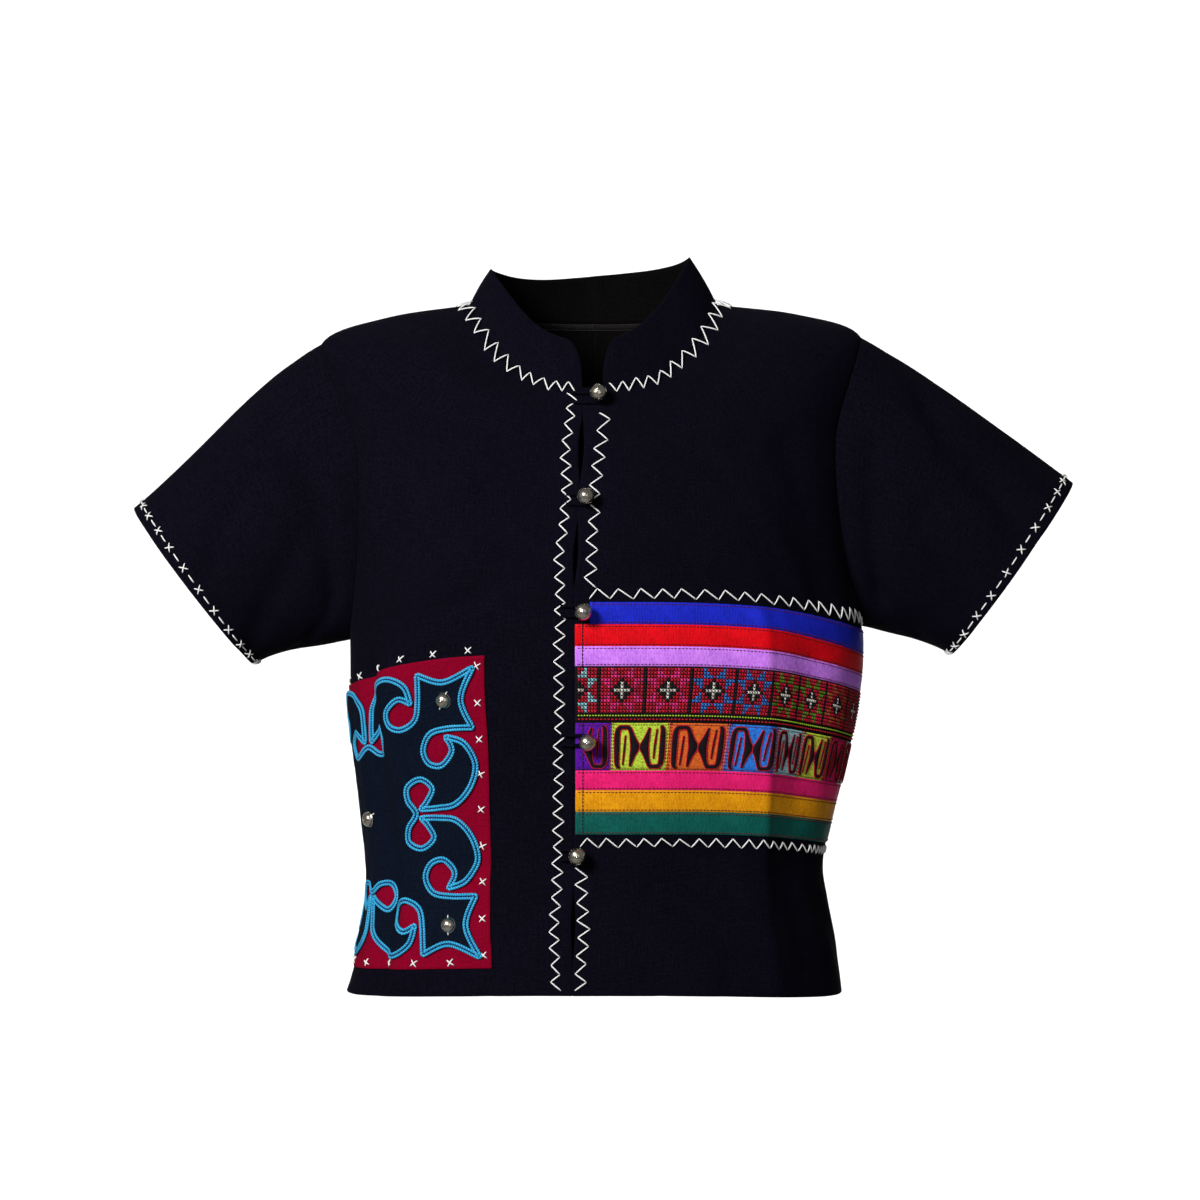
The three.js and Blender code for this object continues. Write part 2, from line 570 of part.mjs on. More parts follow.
// A wall over the cells of a grid where inside(across, up) is above 0, cut along the line where it is 0
function cutLayer(grid, inside, lift) {
  const points = [];
  const numbers = new Map();
  const value = grid.map((row) => row.map((p) => {
    const v = inside(p.across, p.up);
    return Math.abs(v) < 0.4 ? 0.4 * Math.sign(v || 1) : v;
  }));
  const vertex = (key, place, normal) => {
    if (!numbers.has(key)) {
      numbers.set(key, points.length);
      points.push(place.clone().addScaledVector(normal, lift + LAYER));
      points.push(place.clone().addScaledVector(normal, lift));
    }
    return numbers.get(key);
  };
  const corner = ([r, c]) => vertex(`${r},${c}`, grid[r][c].point, grid[r][c].normal);
  const crossing = (from, to) => {
    const [a, b] = from[0] + from[1] < to[0] + to[1] ? [from, to] : [to, from];
    const [va, vb] = [value[a[0]][a[1]], value[b[0]][b[1]]];
    const t = Math.min(0.9, Math.max(0.1, va / (va - vb)));
    const [p, q] = [grid[a[0]][a[1]], grid[b[0]][b[1]]];
    const normal = p.normal.clone().lerp(q.normal, t).normalize();
    return vertex(`${a}|${b}`, p.point.clone().lerp(q.point, t), normal);
  };
  const triangles = [];
  const edges = new Map();
  for (let r = 0; r < grid.length - 1; r += 1) {
    for (let c = 0; c < grid[0].length - 1; c += 1) {
      const around = [[r, c], [r, c + 1], [r + 1, c + 1], [r + 1, c]];
      const outline = [];
      around.forEach((here, i) => {
        const next = around[(i + 1) % 4];
        const [in_here, in_next] = [value[here[0]][here[1]] > 0, value[next[0]][next[1]] > 0];
        if (in_here) outline.push(corner(here));
        if (in_here !== in_next) outline.push(crossing(here, next));
      });
      for (let i = 1; i < outline.length - 1; i += 1) {
        triangles.push([outline[0], outline[i], outline[i + 1]]);
      }
      outline.forEach((a, i) => {
        const b = outline[(i + 1) % outline.length];
        if (edges.has(`${b},${a}`)) edges.delete(`${b},${a}`);
        else edges.set(`${a},${b}`, [a, b]);
      });
    }
  }
  const under = triangles.map(([a, b, c]) => [a + 1, c + 1, b + 1]);
  const rim = [...edges.values()].flatMap(([a, b]) => [[b, a, a + 1], [b, a + 1, b + 1]]);
  return solid(points, [...triangles, ...under, ...rim]);
}

// The applique's outline: the eighth rounded between its corners, then mirrored round the square
function motifOutline() {
  const eighth = [];
  const knots = MOTIF_EIGHTH;
  const mirrored = { out: knots[1].out, along: -knots[1].along };
  for (let i = 0; i < knots.length - 1; i += 1) {
    const [b, c] = [knots[i], knots[i + 1]];
    const a = i === 0 ? mirrored : b.sharp ? b : knots[i - 1];
    const d = c.sharp ? c : knots[i + 2];
    for (let s = 0; s < MOTIF_STEPS; s += 1) {
      const t = s / MOTIF_STEPS;
      const mix = (p, q, u, v) => 0.5 * (2 * q + (u - p) * t + (2 * p - 5 * q + 4 * u - v) * t * t
        + (3 * q - p - 3 * u + v) * t * t * t);
      eighth.push([mix(a.out, b.out, c.out, d.out), mix(a.along, b.along, c.along, d.along)]);
    }
  }
  const tip = knots[knots.length - 1];
  const quarter = [...eighth, [tip.out, tip.along], ...eighth.slice(1).reverse().map(([x, y]) => [y, x])];
  const turned = (k) => quarter.map(([x, y]) => [[x, y], [-y, x], [-x, -y], [y, -x]][k]);
  return [0, 1, 2, 3].flatMap(turned);
}

// Distance to a closed outline, above 0 inside it
function insideOutline(outline, x, y) {
  let nearest = Infinity;
  let inside = false;
  outline.forEach(([x0, y0], i) => {
    const [x1, y1] = outline[(i + 1) % outline.length];
    const run = [x1 - x0, y1 - y0];
    const t = Math.min(1, Math.max(0, ((x - x0) * run[0] + (y - y0) * run[1]) / (run[0] ** 2 + run[1] ** 2)));
    nearest = Math.min(nearest, Math.hypot(x - x0 - t * run[0], y - y0 - t * run[1]));
    if ((y0 > y) !== (y1 > y) && x < x0 + (y - y0) / (y1 - y0) * (x1 - x0)) inside = !inside;
  });
  return inside ? nearest : -nearest;
}

// A turned fastening that stands on the cloth, its axis along the cloth's normal
function standOn(mesh, place, normal, lift) {
  mesh.position.copy(place).addScaledVector(normal, lift);
  mesh.quaternion.setFromUnitVectors(new THREE.Vector3(0, 1, 0), normal);
  return mesh;
}

function ballProfile() {
  const rise = Math.sqrt(BALL.radius ** 2 - BALL.foot_radius ** 2);
  const centre = BALL.foot_height + rise;
  const start = Math.asin(BALL.foot_radius / BALL.radius);
  const steps = 7;
  const arc = Array.from({ length: steps + 1 }, (_, i) => {
    const turn = start + (Math.PI - start) * i / steps;
    const radius = i === steps ? 0 : BALL.radius * Math.sin(turn);
    return new THREE.Vector2(radius, centre - BALL.radius * Math.cos(turn));
  });
  return [new THREE.Vector2(0, 0), new THREE.Vector2(BALL.foot_radius, 0), ...arc];
}

function domeProfile() {
  const steps = 4;
  const arc = Array.from({ length: steps + 1 }, (_, i) => {
    const turn = QUARTER * i / steps;
    const radius = i === steps ? 0 : STUD.radius * Math.cos(turn);
    return new THREE.Vector2(radius, STUD.rim + STUD.height * Math.sin(turn));
  });
  return [new THREE.Vector2(0, 0), new THREE.Vector2(STUD.radius, 0), ...arc];
}

// A cloth loop from the right front's edge, round a button's foot and back
function loopGeometry(button) {
  const reach = BALL.foot_radius + LOOP.radius + LOOP.clear;
  const under = button.on_band ? LAYER + GAP : 0;
  const edge = openingEdge(RIGHT, button.height);
  const place = (x, height) => {
    const angle = frontAngle(x, height);
    const lift = under * smooth((x - edge + LOOP.ramp) / (LOOP.ramp - 1));
    const out = GAP + LOOP.radius + LOOP.lift + lift;
    return bodyPoint(angle, height).addScaledVector(bodyNormal(angle, height), out);
  };
  const route = [];
  const tail = edge - LOOP.tail;
  const straight = 4;
  for (let i = 0; i <= straight; i += 1) {
    route.push(place(tail + (button.x - tail) * i / straight, button.height + reach));
  }
  const bends = 5;
  for (let i = 1; i < bends; i += 1) {
    const turn = Math.PI * i / bends;
    route.push(place(button.x + reach * Math.sin(turn), button.height + reach * Math.cos(turn)));
  }
  for (let i = straight; i >= 0; i -= 1) {
    route.push(place(tail + (button.x - tail) * i / straight, button.height - reach));
  }
  const sides = 6;
  const outline = Array.from({ length: sides }, (_, i) => new THREE.Vector2(
    LOOP.radius * Math.cos(2 * Math.PI * i / sides), LOOP.radius * Math.sin(2 * Math.PI * i / sides)));
  const path = new THREE.CatmullRomCurve3(route);
  const sweep = { extrudePath: path, steps: 14, bevelEnabled: false };
  return new THREE.ExtrudeGeometry(new THREE.Shape(outline), sweep);
}

function named(name, geometry, look) {
  const mesh = new THREE.Mesh(geometry, new THREE.MeshStandardMaterial(look));
  mesh.name = name;
  return mesh;
}

const top = new THREE.Group();
const grids = { right: frontGrid(RIGHT), left: frontGrid(LEFT), back: backGrid() };

function addBody() {
  top.add(named("back", panelSolid(grids.back), NAVY));
  top.add(named("front_right", panelSolid(grids.right), NAVY));
  top.add(named("front_left", panelSolid(grids.left), NAVY));
  top.add(named("sleeve_right", sleeveSolid(RIGHT), NAVY));
  top.add(named("sleeve_left", sleeveSolid(LEFT), NAVY));
  top.add(named("collar", collarSolid(grids), NAVY));
}

function addBand() {
  for (const ribbon of BAND) {
    top.add(named(ribbon.name, ribbonSolid(grids.left, ribbon), { color: ribbon.colour, roughness: 0.6 }));
  }
}

function addPatch() {
  const plain = patchGrid(grids.right, grids.back).filter((row) => Math.abs(row[0].up) < PATCH.half + 0.01);
  const grid = finer(plain);
  const square = (x) => PATCH.half - Math.abs(x);
  const outline = motifOutline();
  const motif = (x, y) => insideOutline(outline, x, y);
  top.add(named("patch_ground", cutLayer(plain, square, GAP), { color: 0x8a0024, roughness: 0.85 }));
  const on_ground = 2 * GAP + LAYER;
  top.add(named("patch_applique", cutLayer(grid, motif, on_ground), { color: 0x0a0c1c, roughness: 0.85 }));
  const at = PATCH.stud_at;
  [[0, 0], [at, at], [at, -at], [-at, at], [-at, -at]].forEach(([x, y], i) => {
    const cells = grid.flat();
    const far = (p) => Math.hypot(p.across - x, p.up - y);
    const near = cells.reduce((best, p) => (far(p) < far(best) ? p : best));
    const stud = named(`stud_${i + 1}`, new THREE.LatheGeometry(domeProfile(), 12), SILVER);
    top.add(standOn(stud, near.point, near.normal, on_ground + LAYER + STUD.lift));
  });
}

function addFastenings() {
  BUTTONS.forEach((button, i) => {
    const angle = frontAngle(button.x, button.height);
    const lift = GAP + (button.on_band ? LAYER + GAP : 0);
    const ball = named(`button_${i + 1}`, new THREE.LatheGeometry(ballProfile(), BALL.sides), SILVER);
    top.add(standOn(ball, bodyPoint(angle, button.height), bodyNormal(angle, button.height), lift));
    top.add(named(`loop_${i + 1}`, loopGeometry(button), NAVY));
  });
}

addBody();
addBand();
addPatch();
addFastenings();

export default top;
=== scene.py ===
# Looks of the embroidered crop top: thin cloth shells, hand stitches, ribbons, patch, cord and silver.
# Sizes are millimetres in the garment's own frame, and meshes are written in metres.
import math

import bpy
import numpy as np
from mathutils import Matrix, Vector


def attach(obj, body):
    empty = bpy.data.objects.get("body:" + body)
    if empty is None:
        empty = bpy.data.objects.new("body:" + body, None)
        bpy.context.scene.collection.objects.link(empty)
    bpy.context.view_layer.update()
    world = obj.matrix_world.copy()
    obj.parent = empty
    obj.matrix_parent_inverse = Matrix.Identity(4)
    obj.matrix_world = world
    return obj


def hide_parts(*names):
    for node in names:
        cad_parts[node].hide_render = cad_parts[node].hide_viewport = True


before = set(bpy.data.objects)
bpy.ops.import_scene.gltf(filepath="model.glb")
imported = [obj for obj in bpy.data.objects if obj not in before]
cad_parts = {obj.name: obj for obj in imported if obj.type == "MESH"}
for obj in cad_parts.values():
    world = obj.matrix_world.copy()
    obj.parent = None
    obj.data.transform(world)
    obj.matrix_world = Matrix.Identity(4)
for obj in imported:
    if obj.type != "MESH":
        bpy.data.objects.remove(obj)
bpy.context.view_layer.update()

MM = 0.001
RIGHT = -1
LEFT = 1
QUARTER = math.pi / 2
DEGREE = math.pi / 180

# Cloth: how thick, how far apart pieces lie, and how far a rim's middle stands out, as a share of the cloth
CLOTH = 1.0
COLLAR_CLOTH = 1.4
GAP = 0.3
RIBBON = 0.5
PATCH_CLOTH = 0.7
RIM_ROUND = 0.42

# Level sections of the body from the hem up, as in the part: heights at the centre front, sides
# and back, then how far the cloth stands out at each, then how square the section is, and how
# long the cloth stays level before it drops towards the side.
SECTION_COLUMNS = (
    "front_z", "right_z", "left_z", "back_z", "right", "left", "front", "back", "squareness", "bend",
)
SECTION_ROWS = (
    (-494, -502, -503, -500, 181, 182, 108, 100, 2.3, 2.5),
    (-458, -467, -468, -464, 171, 178, 104, 92, 2.3, 3),
    (-424, -433, -434, -430, 164.5, 171.5, 101, 85, 2.3, 3.5),
    (-400, -411, -411, -407, 164.5, 168, 100, 83, 2.3, 4),
    (-362, -374, -375, -369, 169, 174, 103, 85, 2.3, 4),
    (-318, -334, -335, -326, 173.5, 184.5, 109, 89, 2.3, 4),
    (-272, -292, -292, -282, 178, 193, 115, 94, 2.3, 4),
    (-216, -246, -236, -232, 179, 196, 119, 97, 2.3, 3.5),
    (-184, -185, -178, -180, 180, 190, 117, 98, 2.25, 2.5),
    (-146, -100, -95, -118, 186, 190, 107, 92, 2.05, 2),
    (-110, -29, -24, -62, 200, 197, 95, 76, 1.8, 2),
    (-86, -9, -7, -32, 150, 150, 86, 68, 1.85, 2),
    (-66, 0, 0, -8, 91, 91, 77, 62, 2.0, 3.2),
)
SECTIONS = dict(zip(SECTION_COLUMNS, np.array(SECTION_ROWS, float).T))
HEM = SECTION_ROWS[0][0]
NECK = SECTION_ROWS[-1][0]

# Folds of the body as angle and height of both ends, width and depth. The first rows are the part's
# own large folds and the rest are finer creases. A depth below 0 is a ridge.
MM_PER_DEGREE = 2.7
BODY_FOLDS = (
    (-70, -252, -69, -486, 10, 7),
    (-61, -262, -60, -480, 15, -3.5),
    (50, -240, 57, -488, 18, -4.5),
    (63, -250, 68, -470, 14, 2.5),
    (62, -140, 66, -205, 12, 4),
    (-60, -145, -66, -200, 12, 3),
    (128, -190, 122, -400, 16, 4),
    (-126, -200, -132, -420, 16, 4),
)
BODY_CREASES = (
    (48.5, -224, 57, -400, 5, -1.8),
    (57, -400, 56, -486, 5, -1.2),
    (50, -128, 60, -178, 7, 1.6),
    (40, -120, 58, -214, 9, 1.2),
    (-47, -126, -60, -176, 7, 1.6),
    (-38, -150, -62, -222, 9, 1.4),
    (-30, -205, -66, -238, 8, 1.3),
    (30, -392, 62, -402, 7, 1.3),
    (22, -420, 58, -444, 9, 1.5),
    (68, -398, 84, -412, 6, 1.6),
    (74, -420, 86, -470, 8, 1.2),
    (-22, -398, -48, -404, 8, 1.2),
    (-16, -428, -40, -470, 9, 1.1),
    (-78, -260, -82, -380, 7, 1.5),
    (-80, -400, -88, -484, 7, 1.4),
    (12, -96, 34, -104, 8, 1.0),
    (-14, -96, -36, -106, 8, 1.0),
    (150, -120, 116, -165, 10, 1.8),
    (-150, -120, -116, -170, 10, 1.8),
    (165, -150, 130, -215, 10, 1.2),
    (-165, -146, -128, -220, 10, 1.3),
    (152, -398, 120, -412, 9, 1.5),
    (-146, -392, -116, -410, 8, 1.6),
    (172, -420, 140, -452, 11, 1.3),
    (-176, -426, -150, -478, 11, 1.2),
    (170, -300, 168, -400, 14, 1.6),
    (-150, -250, -156, -380, 12, 1.4),
    (104, -260, 100, -470, 9, 1.5),
    (-104, -480, -112, -492, 8, 1.2),
    (20, -480, 24, -494, 7, 1.1),
    (46, -474, 44, -494, 8, 1.3),
    (-34, -476, -36, -494, 8, 1.3),
)

# The centre front: where its edges meet, and where they bow apart between buttons
OPENING_LINE = (
    (NECK, -7.0), (-110, -8.9), (-148, -10.3), (-190, -12.8), (-225, -13.8), (-300, -13.8),
    (-400, -14.0), (HEM, -15.0),
)
SLITS = ((-78, -142, 4.2), (-154, -216, 3.6), (-412, -480, 3.4))

ARMHOLE_TOP = -110
ARMHOLE_FOOT = -216
FRONT_REACH = 15 * DEGREE
BACK_REACH = 13.8 * DEGREE

# Sleeves: the cuff's centre, half its height and depth, and how it leans
SLEEVES = {
    RIGHT: {"cuff_x": -293.3, "cuff_z": -206.9, "half_high": 72.6, "half_deep": 47, "lean": 37.4 * DEGREE},
    LEFT: {"cuff_x": 306.5, "cuff_z": -194.0, "half_high": 77.5, "half_deep": 46, "lean": 35.3 * DEGREE},
}
SLEEVE_ROUND = 1.25
SLEEVE_LONG = 130
# Degrees round and share along of both ends, width and depth: the part's folds, then finer creases
SLEEVE_FOLDS = {
    RIGHT: (
        (45, 0.3, 128, 0.14, 12, 5), (100, 0.35, 150, 0.95, 13, 3.5), (235, 0.25, 300, 0.6, 14, 4),
        (30, 0.12, 70, 0.1, 5, 1.2), (60, 0.5, 92, 0.9, 8, 1.6), (140, 0.2, 170, 0.5, 7, 1.6),
        (20, 0.45, 48, 0.95, 9, 1.4), (255, 0.7, 285, 0.98, 8, 1.4), (200, 0.2, 225, 0.6, 8, 1.6),
        (310, 0.3, 335, 0.8, 9, 1.2),
    ),
    LEFT: (
        (35, 0.35, 75, 0.95, 13, 4), (70, 0.18, 135, 0.2, 12, 4), (230, 0.3, 290, 0.7, 14, 4),
        (15, 0.2, 55, 0.5, 8, 1.6), (90, 0.45, 128, 0.95, 9, 2.0), (130, 0.2, 165, 0.6, 8, 1.8),
        (60, 0.6, 70, 0.98, 6, 1.2), (250, 0.72, 275, 0.98, 8, 1.4), (205, 0.2, 228, 0.6, 8, 1.6),
        (312, 0.3, 338, 0.8, 9, 1.2),
    ),
}

COLLAR_HEIGHT = 35
COLLAR_HIGHER_LEFT = 5
COLLAR_HIGHER_FRONT = 8
COLLAR_LEAN_FRONT = 14 * DEGREE
COLLAR_LEAN_SIDE = 16 * DEGREE
COLLAR_LEFT_X = 6.5
COLLAR_RIGHT_X = -8.5
COLLAR_CORNER = 14
COLLAR_END_HEIGHT = 5

# Plain ribbons of the band, from the lower edge up: name, lower and upper height
RIBBONS = (
    ("ribbon_green", -381.6, -365.5),
    ("ribbon_gold", -365.5, -350.2),
    ("ribbon_pink", -350.2, -336.2),
    ("ribbon_lilac", -262.9, -248.9),
    ("ribbon_red", -248.9, -233.6),
    ("ribbon_blue", -233.6, -218.2),
)
SQUARES_FOOT = -336.2
SQUARES_TOP = -302.7
CROSS_FOOT = -296.4
CROSS_TOP = -262.9
BAND_INSET = 1.0
BLUE_RIBBON_X = -2.6
BLUE_FOOT = RIBBONS[-1][1]
END_STITCH = 5.0
EDGE_RED = (0.11, 0.002, 0.006)
END_DARK = (0.010, 0.005, 0.016)

PATCH_HALF = 110
PATCH_MIDDLE = (
    (-475, 50.5), (-445, 40.5), (-415, 35.6), (-365, 41.0), (-315, 50.2), (-255, 57.4),
)
PATCH_HEIGHT = -365
STUD_AT = 80
APPLIQUE_CLOTH = 0.6
APPLIQUE_LIFT = 2 * GAP + 1.0
CORD_LIFT = APPLIQUE_LIFT + 0.9
STRAND_ASIDE = 1.32
STRAND_RADIUS = 0.98
TACK_BLUE = (0.006, 0.035, 0.17)

# One eighth of the applique's outline: out, along, and 1 where it turns a corner
MOTIF_EIGHTH = (
    (55, 0, 0), (49, 10, 0), (49, 20, 0), (59, 25, 0), (68, 18, 0), (64, 9, 0), (59, 3.2, 1),
    (72, 3.6, 0), (86, 6, 0), (97, 18, 0), (101, 34, 0), (93, 49, 0), (80, 54, 1), (84, 44, 0),
    (76, 34, 0), (66, 36, 0), (62, 46, 0), (68, 57, 0), (82, 60, 0), (100, 60, 1), (93, 80, 0),
    (102, 102, 1),
)

# Buttons: height, x, and whether one stands on the ribbon band
BUTTONS = ((-74, 3.5, 0), (-147, -5.2, 0), (-224.5, -7.0, 0), (-314.6, -4.6, 1), (-396, -11.6, 0))
BALL_RADIUS = 6.2
FOOT_RADIUS = 1.8
FOOT_HEIGHT = 3.4
LOOP_RADIUS = 1.2
STUD_RADIUS = 5.8
STUD_HEIGHT = 4.4
TIE_CREAM = (0.8, 0.76, 0.68)

draws = np.random.default_rng(7)


# Curves and surfaces of the garment

def through(key, values, at):
    """A smooth curve through a table's rows, the same as the part's own."""
    order = np.argsort(key)
    k = np.asarray(key, float)[order]
    v = np.asarray(values, float)[order]
    at = np.clip(np.asarray(at, float), k[0], k[-1])
    i = np.clip(np.searchsorted(k, at, side="right") - 1, 0, len(k) - 2)
    slope = np.diff(v) / np.diff(k)
    here = slope[i]
    before = np.where(i > 0, (slope[np.maximum(i - 1, 0)] + here) / 2, here)
    after = np.where(i + 2 < len(k), (here + slope[np.minimum(i + 1, len(slope) - 1)]) / 2, here)
    span = np.diff(k)[i]
    t = (at - k[i]) / span
    ease = t * t * (3 - 2 * t)
    return v[i] * (1 - ease) + v[i + 1] * ease + t * (1 - t) * span * (before * (1 - t) - after * t)


def table_curve(rows, at):
    """The smooth curve through a table of where and value."""
    where, values = zip(*rows)
    return through(where, values, at)


def section(column, height):
    return through(SECTIONS["front_z"], SECTIONS[column], height)


def fold_depth(x, y, fold, x_scale, y_scale):
    x0, y0, x1, y1, width, depth = fold
    x0, x1, y0, y1 = x0 * x_scale, x1 * x_scale, y0 * y_scale, y1 * y_scale
    run_x, run_y = x1 - x0, y1 - y0
    along = np.clip(((x - x0) * run_x + (y - y0) * run_y) / (run_x ** 2 + run_y ** 2), 0, 1)
    away = np.hypot(x - x0 - along * run_x, y - y0 - along * run_y)
    return depth * np.exp(-((away / width) ** 2))


def slack(degrees, height):
    """Slow unevenness of hanging cloth, under a millimetre."""
    return (0.35 * np.sin(degrees * 0.021 + height * 0.034)
            + 0.3 * np.sin(degrees * 0.047 - height * 0.019 + 1.3)
            + 0.18 * np.sin(degrees * 0.09 + height * 0.063 + 0.4))


def body_point(angle, height):
    angle, height = np.broadcast_arrays(np.asarray(angle, float), np.asarray(height, float))
    sine, cosine = np.sin(angle), np.cos(angle)
    side = np.where(sine < 0, section("right", height), section("left", height))
    side_z = np.where(sine < 0, section("right_z", height), section("left_z", height))
    deep = np.where(cosine > 0, section("front", height), section("back", height))
    middle_z = np.where(cosine > 0, height, section("back_z", height))
    power = section("squareness", height)
    radius = ((np.abs(sine) / side) ** power + (np.abs(cosine) / deep) ** power) ** (-1 / power)
    across = np.minimum(1, np.abs(radius * sine) / side)
    degrees = np.arctan2(sine, cosine) / DEGREE * MM_PER_DEGREE
    folded = slack(degrees, height)
    for fold in BODY_FOLDS + BODY_CREASES:
        folded = folded + fold_depth(degrees, height, fold, MM_PER_DEGREE, 1)
    z = middle_z + (side_z - middle_z) * across ** section("bend", height)
    out = radius - folded
    return np.stack([out * sine, -out * cosine, z], axis=-1)


def unit(vectors):
    return vectors / np.maximum(np.linalg.norm(vectors, axis=-1, keepdims=True), 1e-9)


def lengths_along(points):
    """Distance along a line of points, 0 at the first."""
    return np.concatenate([[0], np.cumsum(np.linalg.norm(np.diff(points, axis=0), axis=1))])


def circle(count):
    return np.arange(count) / count * 2 * math.pi


def body_normal(angle, height):
    step, rise = 0.004, 0.5
    round_way = body_point(angle + step, height) - body_point(angle - step, height)
    above = body_point(angle, np.minimum(NECK, height + rise))
    below = body_point(angle, np.maximum(HEM, height - rise))
    return unit(np.cross(round_way, above - below))


def on_body(angle, height, lift):
    lift = np.asarray(lift, float)[..., None]
    return body_point(angle, height) + body_normal(angle, height) * lift


def angle_for(distance, angle, height):
    step = 0.002
    speed = np.linalg.norm(body_point(angle + step, height) - body_point(angle - step, height), axis=-1)
    return distance * 2 * step / speed


def front_angle(x, height):
    side = np.where(np.asarray(x) < 0, section("right", height), section("left", height))
    deep = section("front", height)
    power = section("squareness", height)
    return np.arctan2(x, deep * (1 - (np.abs(x) / side) ** power) ** (1 / power))


def opening_x(height):
    return table_curve(OPENING_LINE, height)


def opening_edge(side, height):
    height = np.asarray(height, float)
    apart = np.full(height.shape, GAP / 2)
    for top, foot, wide in SLITS:
        t = np.clip((height - foot) / (top - foot), 0, 1)
        apart = apart + wide / 2 * np.sin(math.pi * t) ** 2
    return opening_x(height) + side * apart


def armhole_at(side, turn):
    reach = np.where(np.sin(turn) > 0, FRONT_REACH, BACK_REACH)
    middle, half = (ARMHOLE_TOP + ARMHOLE_FOOT) / 2, (ARMHOLE_TOP - ARMHOLE_FOOT) / 2
    return side * (QUARTER - reach * np.sin(turn)), middle + half * np.cos(turn)


def armhole_point(side, turn):
    return body_point(*armhole_at(side, turn))


def sleeve_heading(side, turn):
    down = (21 + 7 * np.cos(turn)) * DEGREE
    return unit(np.stack([side * np.cos(down), -0.12 * np.sin(turn), -np.sin(down)], axis=-1))


def dot(a, b):
    return np.sum(a * b, axis=-1, keepdims=True)


def seam_face(along, first_normal, heading, outward):
    """The face where two walls meet: the way from the outer to the inner line, across, second normal."""
    second = unit(np.cross(along, heading))
    second = np.where(dot(second, outward) < 0, -second, second)
    middle = unit(first_normal + second)
    across = unit(np.cross(along, middle))
    across = np.where(dot(across, heading) < 0, -across, across)
    return -middle / np.maximum(0.5, dot(middle, first_normal)), across, second


def armhole_face(side, turn):
    angle, height = armhole_at(side, turn)
    along = unit(armhole_point(side, turn + 0.01) - armhole_point(side, turn - 0.01))
    centre = (armhole_point(side, QUARTER) + armhole_point(side, -QUARTER)) / 2
    outward = armhole_point(side, turn) - centre
    return seam_face(along, body_normal(angle, height), sleeve_heading(side, turn), outward)


def collar_heading(angle):
    seat = body_point(angle, NECK)
    outward = unit(seat * [1, 1, 0])
    lean = (COLLAR_LEAN_FRONT + COLLAR_LEAN_SIDE * np.sin(angle) ** 2)[..., None]
    return -outward * np.sin(lean) + np.array([0, 0, 1]) * np.cos(lean)


def neck_face(angle):
    along = unit(body_point(angle + 0.01, NECK) - body_point(angle - 0.01, NECK))
    outward = body_point(angle, NECK) * [1, 1, 0]
    return seam_face(along, body_normal(angle, NECK), collar_heading(angle), outward)


def sleeve_base(side, turn, along):
    sleeve = SLEEVES[side]
    start = armhole_point(side, turn) + armhole_face(side, turn)[1] * GAP
    up = np.array([side * math.sin(sleeve["lean"]), 0, math.cos(sleeve["lean"])])
    axis = np.array([side * math.cos(sleeve["lean"]), 0, -math.sin(sleeve["lean"])])
    cosine, sine = np.cos(turn)[..., None], np.sin(turn)[..., None]
    end = np.array([sleeve["cuff_x"], 0, sleeve["cuff_z"]]) + up * sleeve["half_high"] * cosine
    end = end + np.array([0, -sleeve["half_deep"], 0]) * sine
    far = np.linalg.norm(start - end, axis=-1, keepdims=True)
    t = np.asarray(along, float)[..., None]
    return (start * (1 + 2 * t) * (1 - t) ** 2 + sleeve_heading(side, turn) * far * t * (1 - t) ** 2
            + end * t * t * (3 - 2 * t) + axis * far * t * t * (t - 1))


def sleeve_surface(side, turn, along):
    """Point and outward normal of a sleeve's outer face, folds included in the point."""
    turn, along = np.broadcast_arrays(np.asarray(turn, float), np.asarray(along, float))
    round_way = sleeve_base(side, turn + 0.02, along) - sleeve_base(side, turn - 0.02, along)
    farther = sleeve_base(side, turn, np.minimum(1, along + 0.01))
    nearer = sleeve_base(side, turn, np.maximum(0, along - 0.01))
    normal = unit(np.cross(round_way, farther - nearer)) * side
    degrees = np.mod(turn / DEGREE, 360) * SLEEVE_ROUND
    depth = slack(degrees * 1.6, along * SLEEVE_LONG * 1.4)
    for fold in SLEEVE_FOLDS[side]:
        depth = depth + fold_depth(degrees, along * SLEEVE_LONG, fold, SLEEVE_ROUND, SLEEVE_LONG)
    ease = np.sin(np.minimum(1, along * 5) * QUARTER) ** 2
    return sleeve_base(side, turn, along) - normal * (depth * ease)[..., None], normal


# Round distances from the right side seam, so that the patch keeps its square cut on the body
ROUND_ANGLES = -QUARTER + np.linspace(-80, 84, 329) * DEGREE
ROUND_STEPS = np.arange(-100.0, 171.0, 1.0)
ROUND_HEIGHTS = np.linspace(HEM, -225, 56)


def round_table():
    table = []
    for height in ROUND_HEIGHTS:
        far = lengths_along(body_point(ROUND_ANGLES, height))
        seam = np.interp(-QUARTER, ROUND_ANGLES, far)
        table.append(np.interp(ROUND_STEPS, far - seam, ROUND_ANGLES))
    return np.array(table)


ROUND_TABLE = round_table()


def cell_and_share(values, at):
    """The cell of an even row of values that holds a place, and how far into it the place is."""
    cells = np.clip((at - values[0]) / (values[1] - values[0]), 0, len(values) - 1.001)
    number = cells.astype(int)
    return number, cells - number


def round_angle(distance, height):
    c, u = cell_and_share(ROUND_STEPS, distance)
    r, v = cell_and_share(ROUND_HEIGHTS, height)
    low = ROUND_TABLE[r, c] * (1 - u) + ROUND_TABLE[r, c + 1] * u
    high = ROUND_TABLE[r + 1, c] * (1 - u) + ROUND_TABLE[r + 1, c + 1] * u
    return low * (1 - v) + high * v


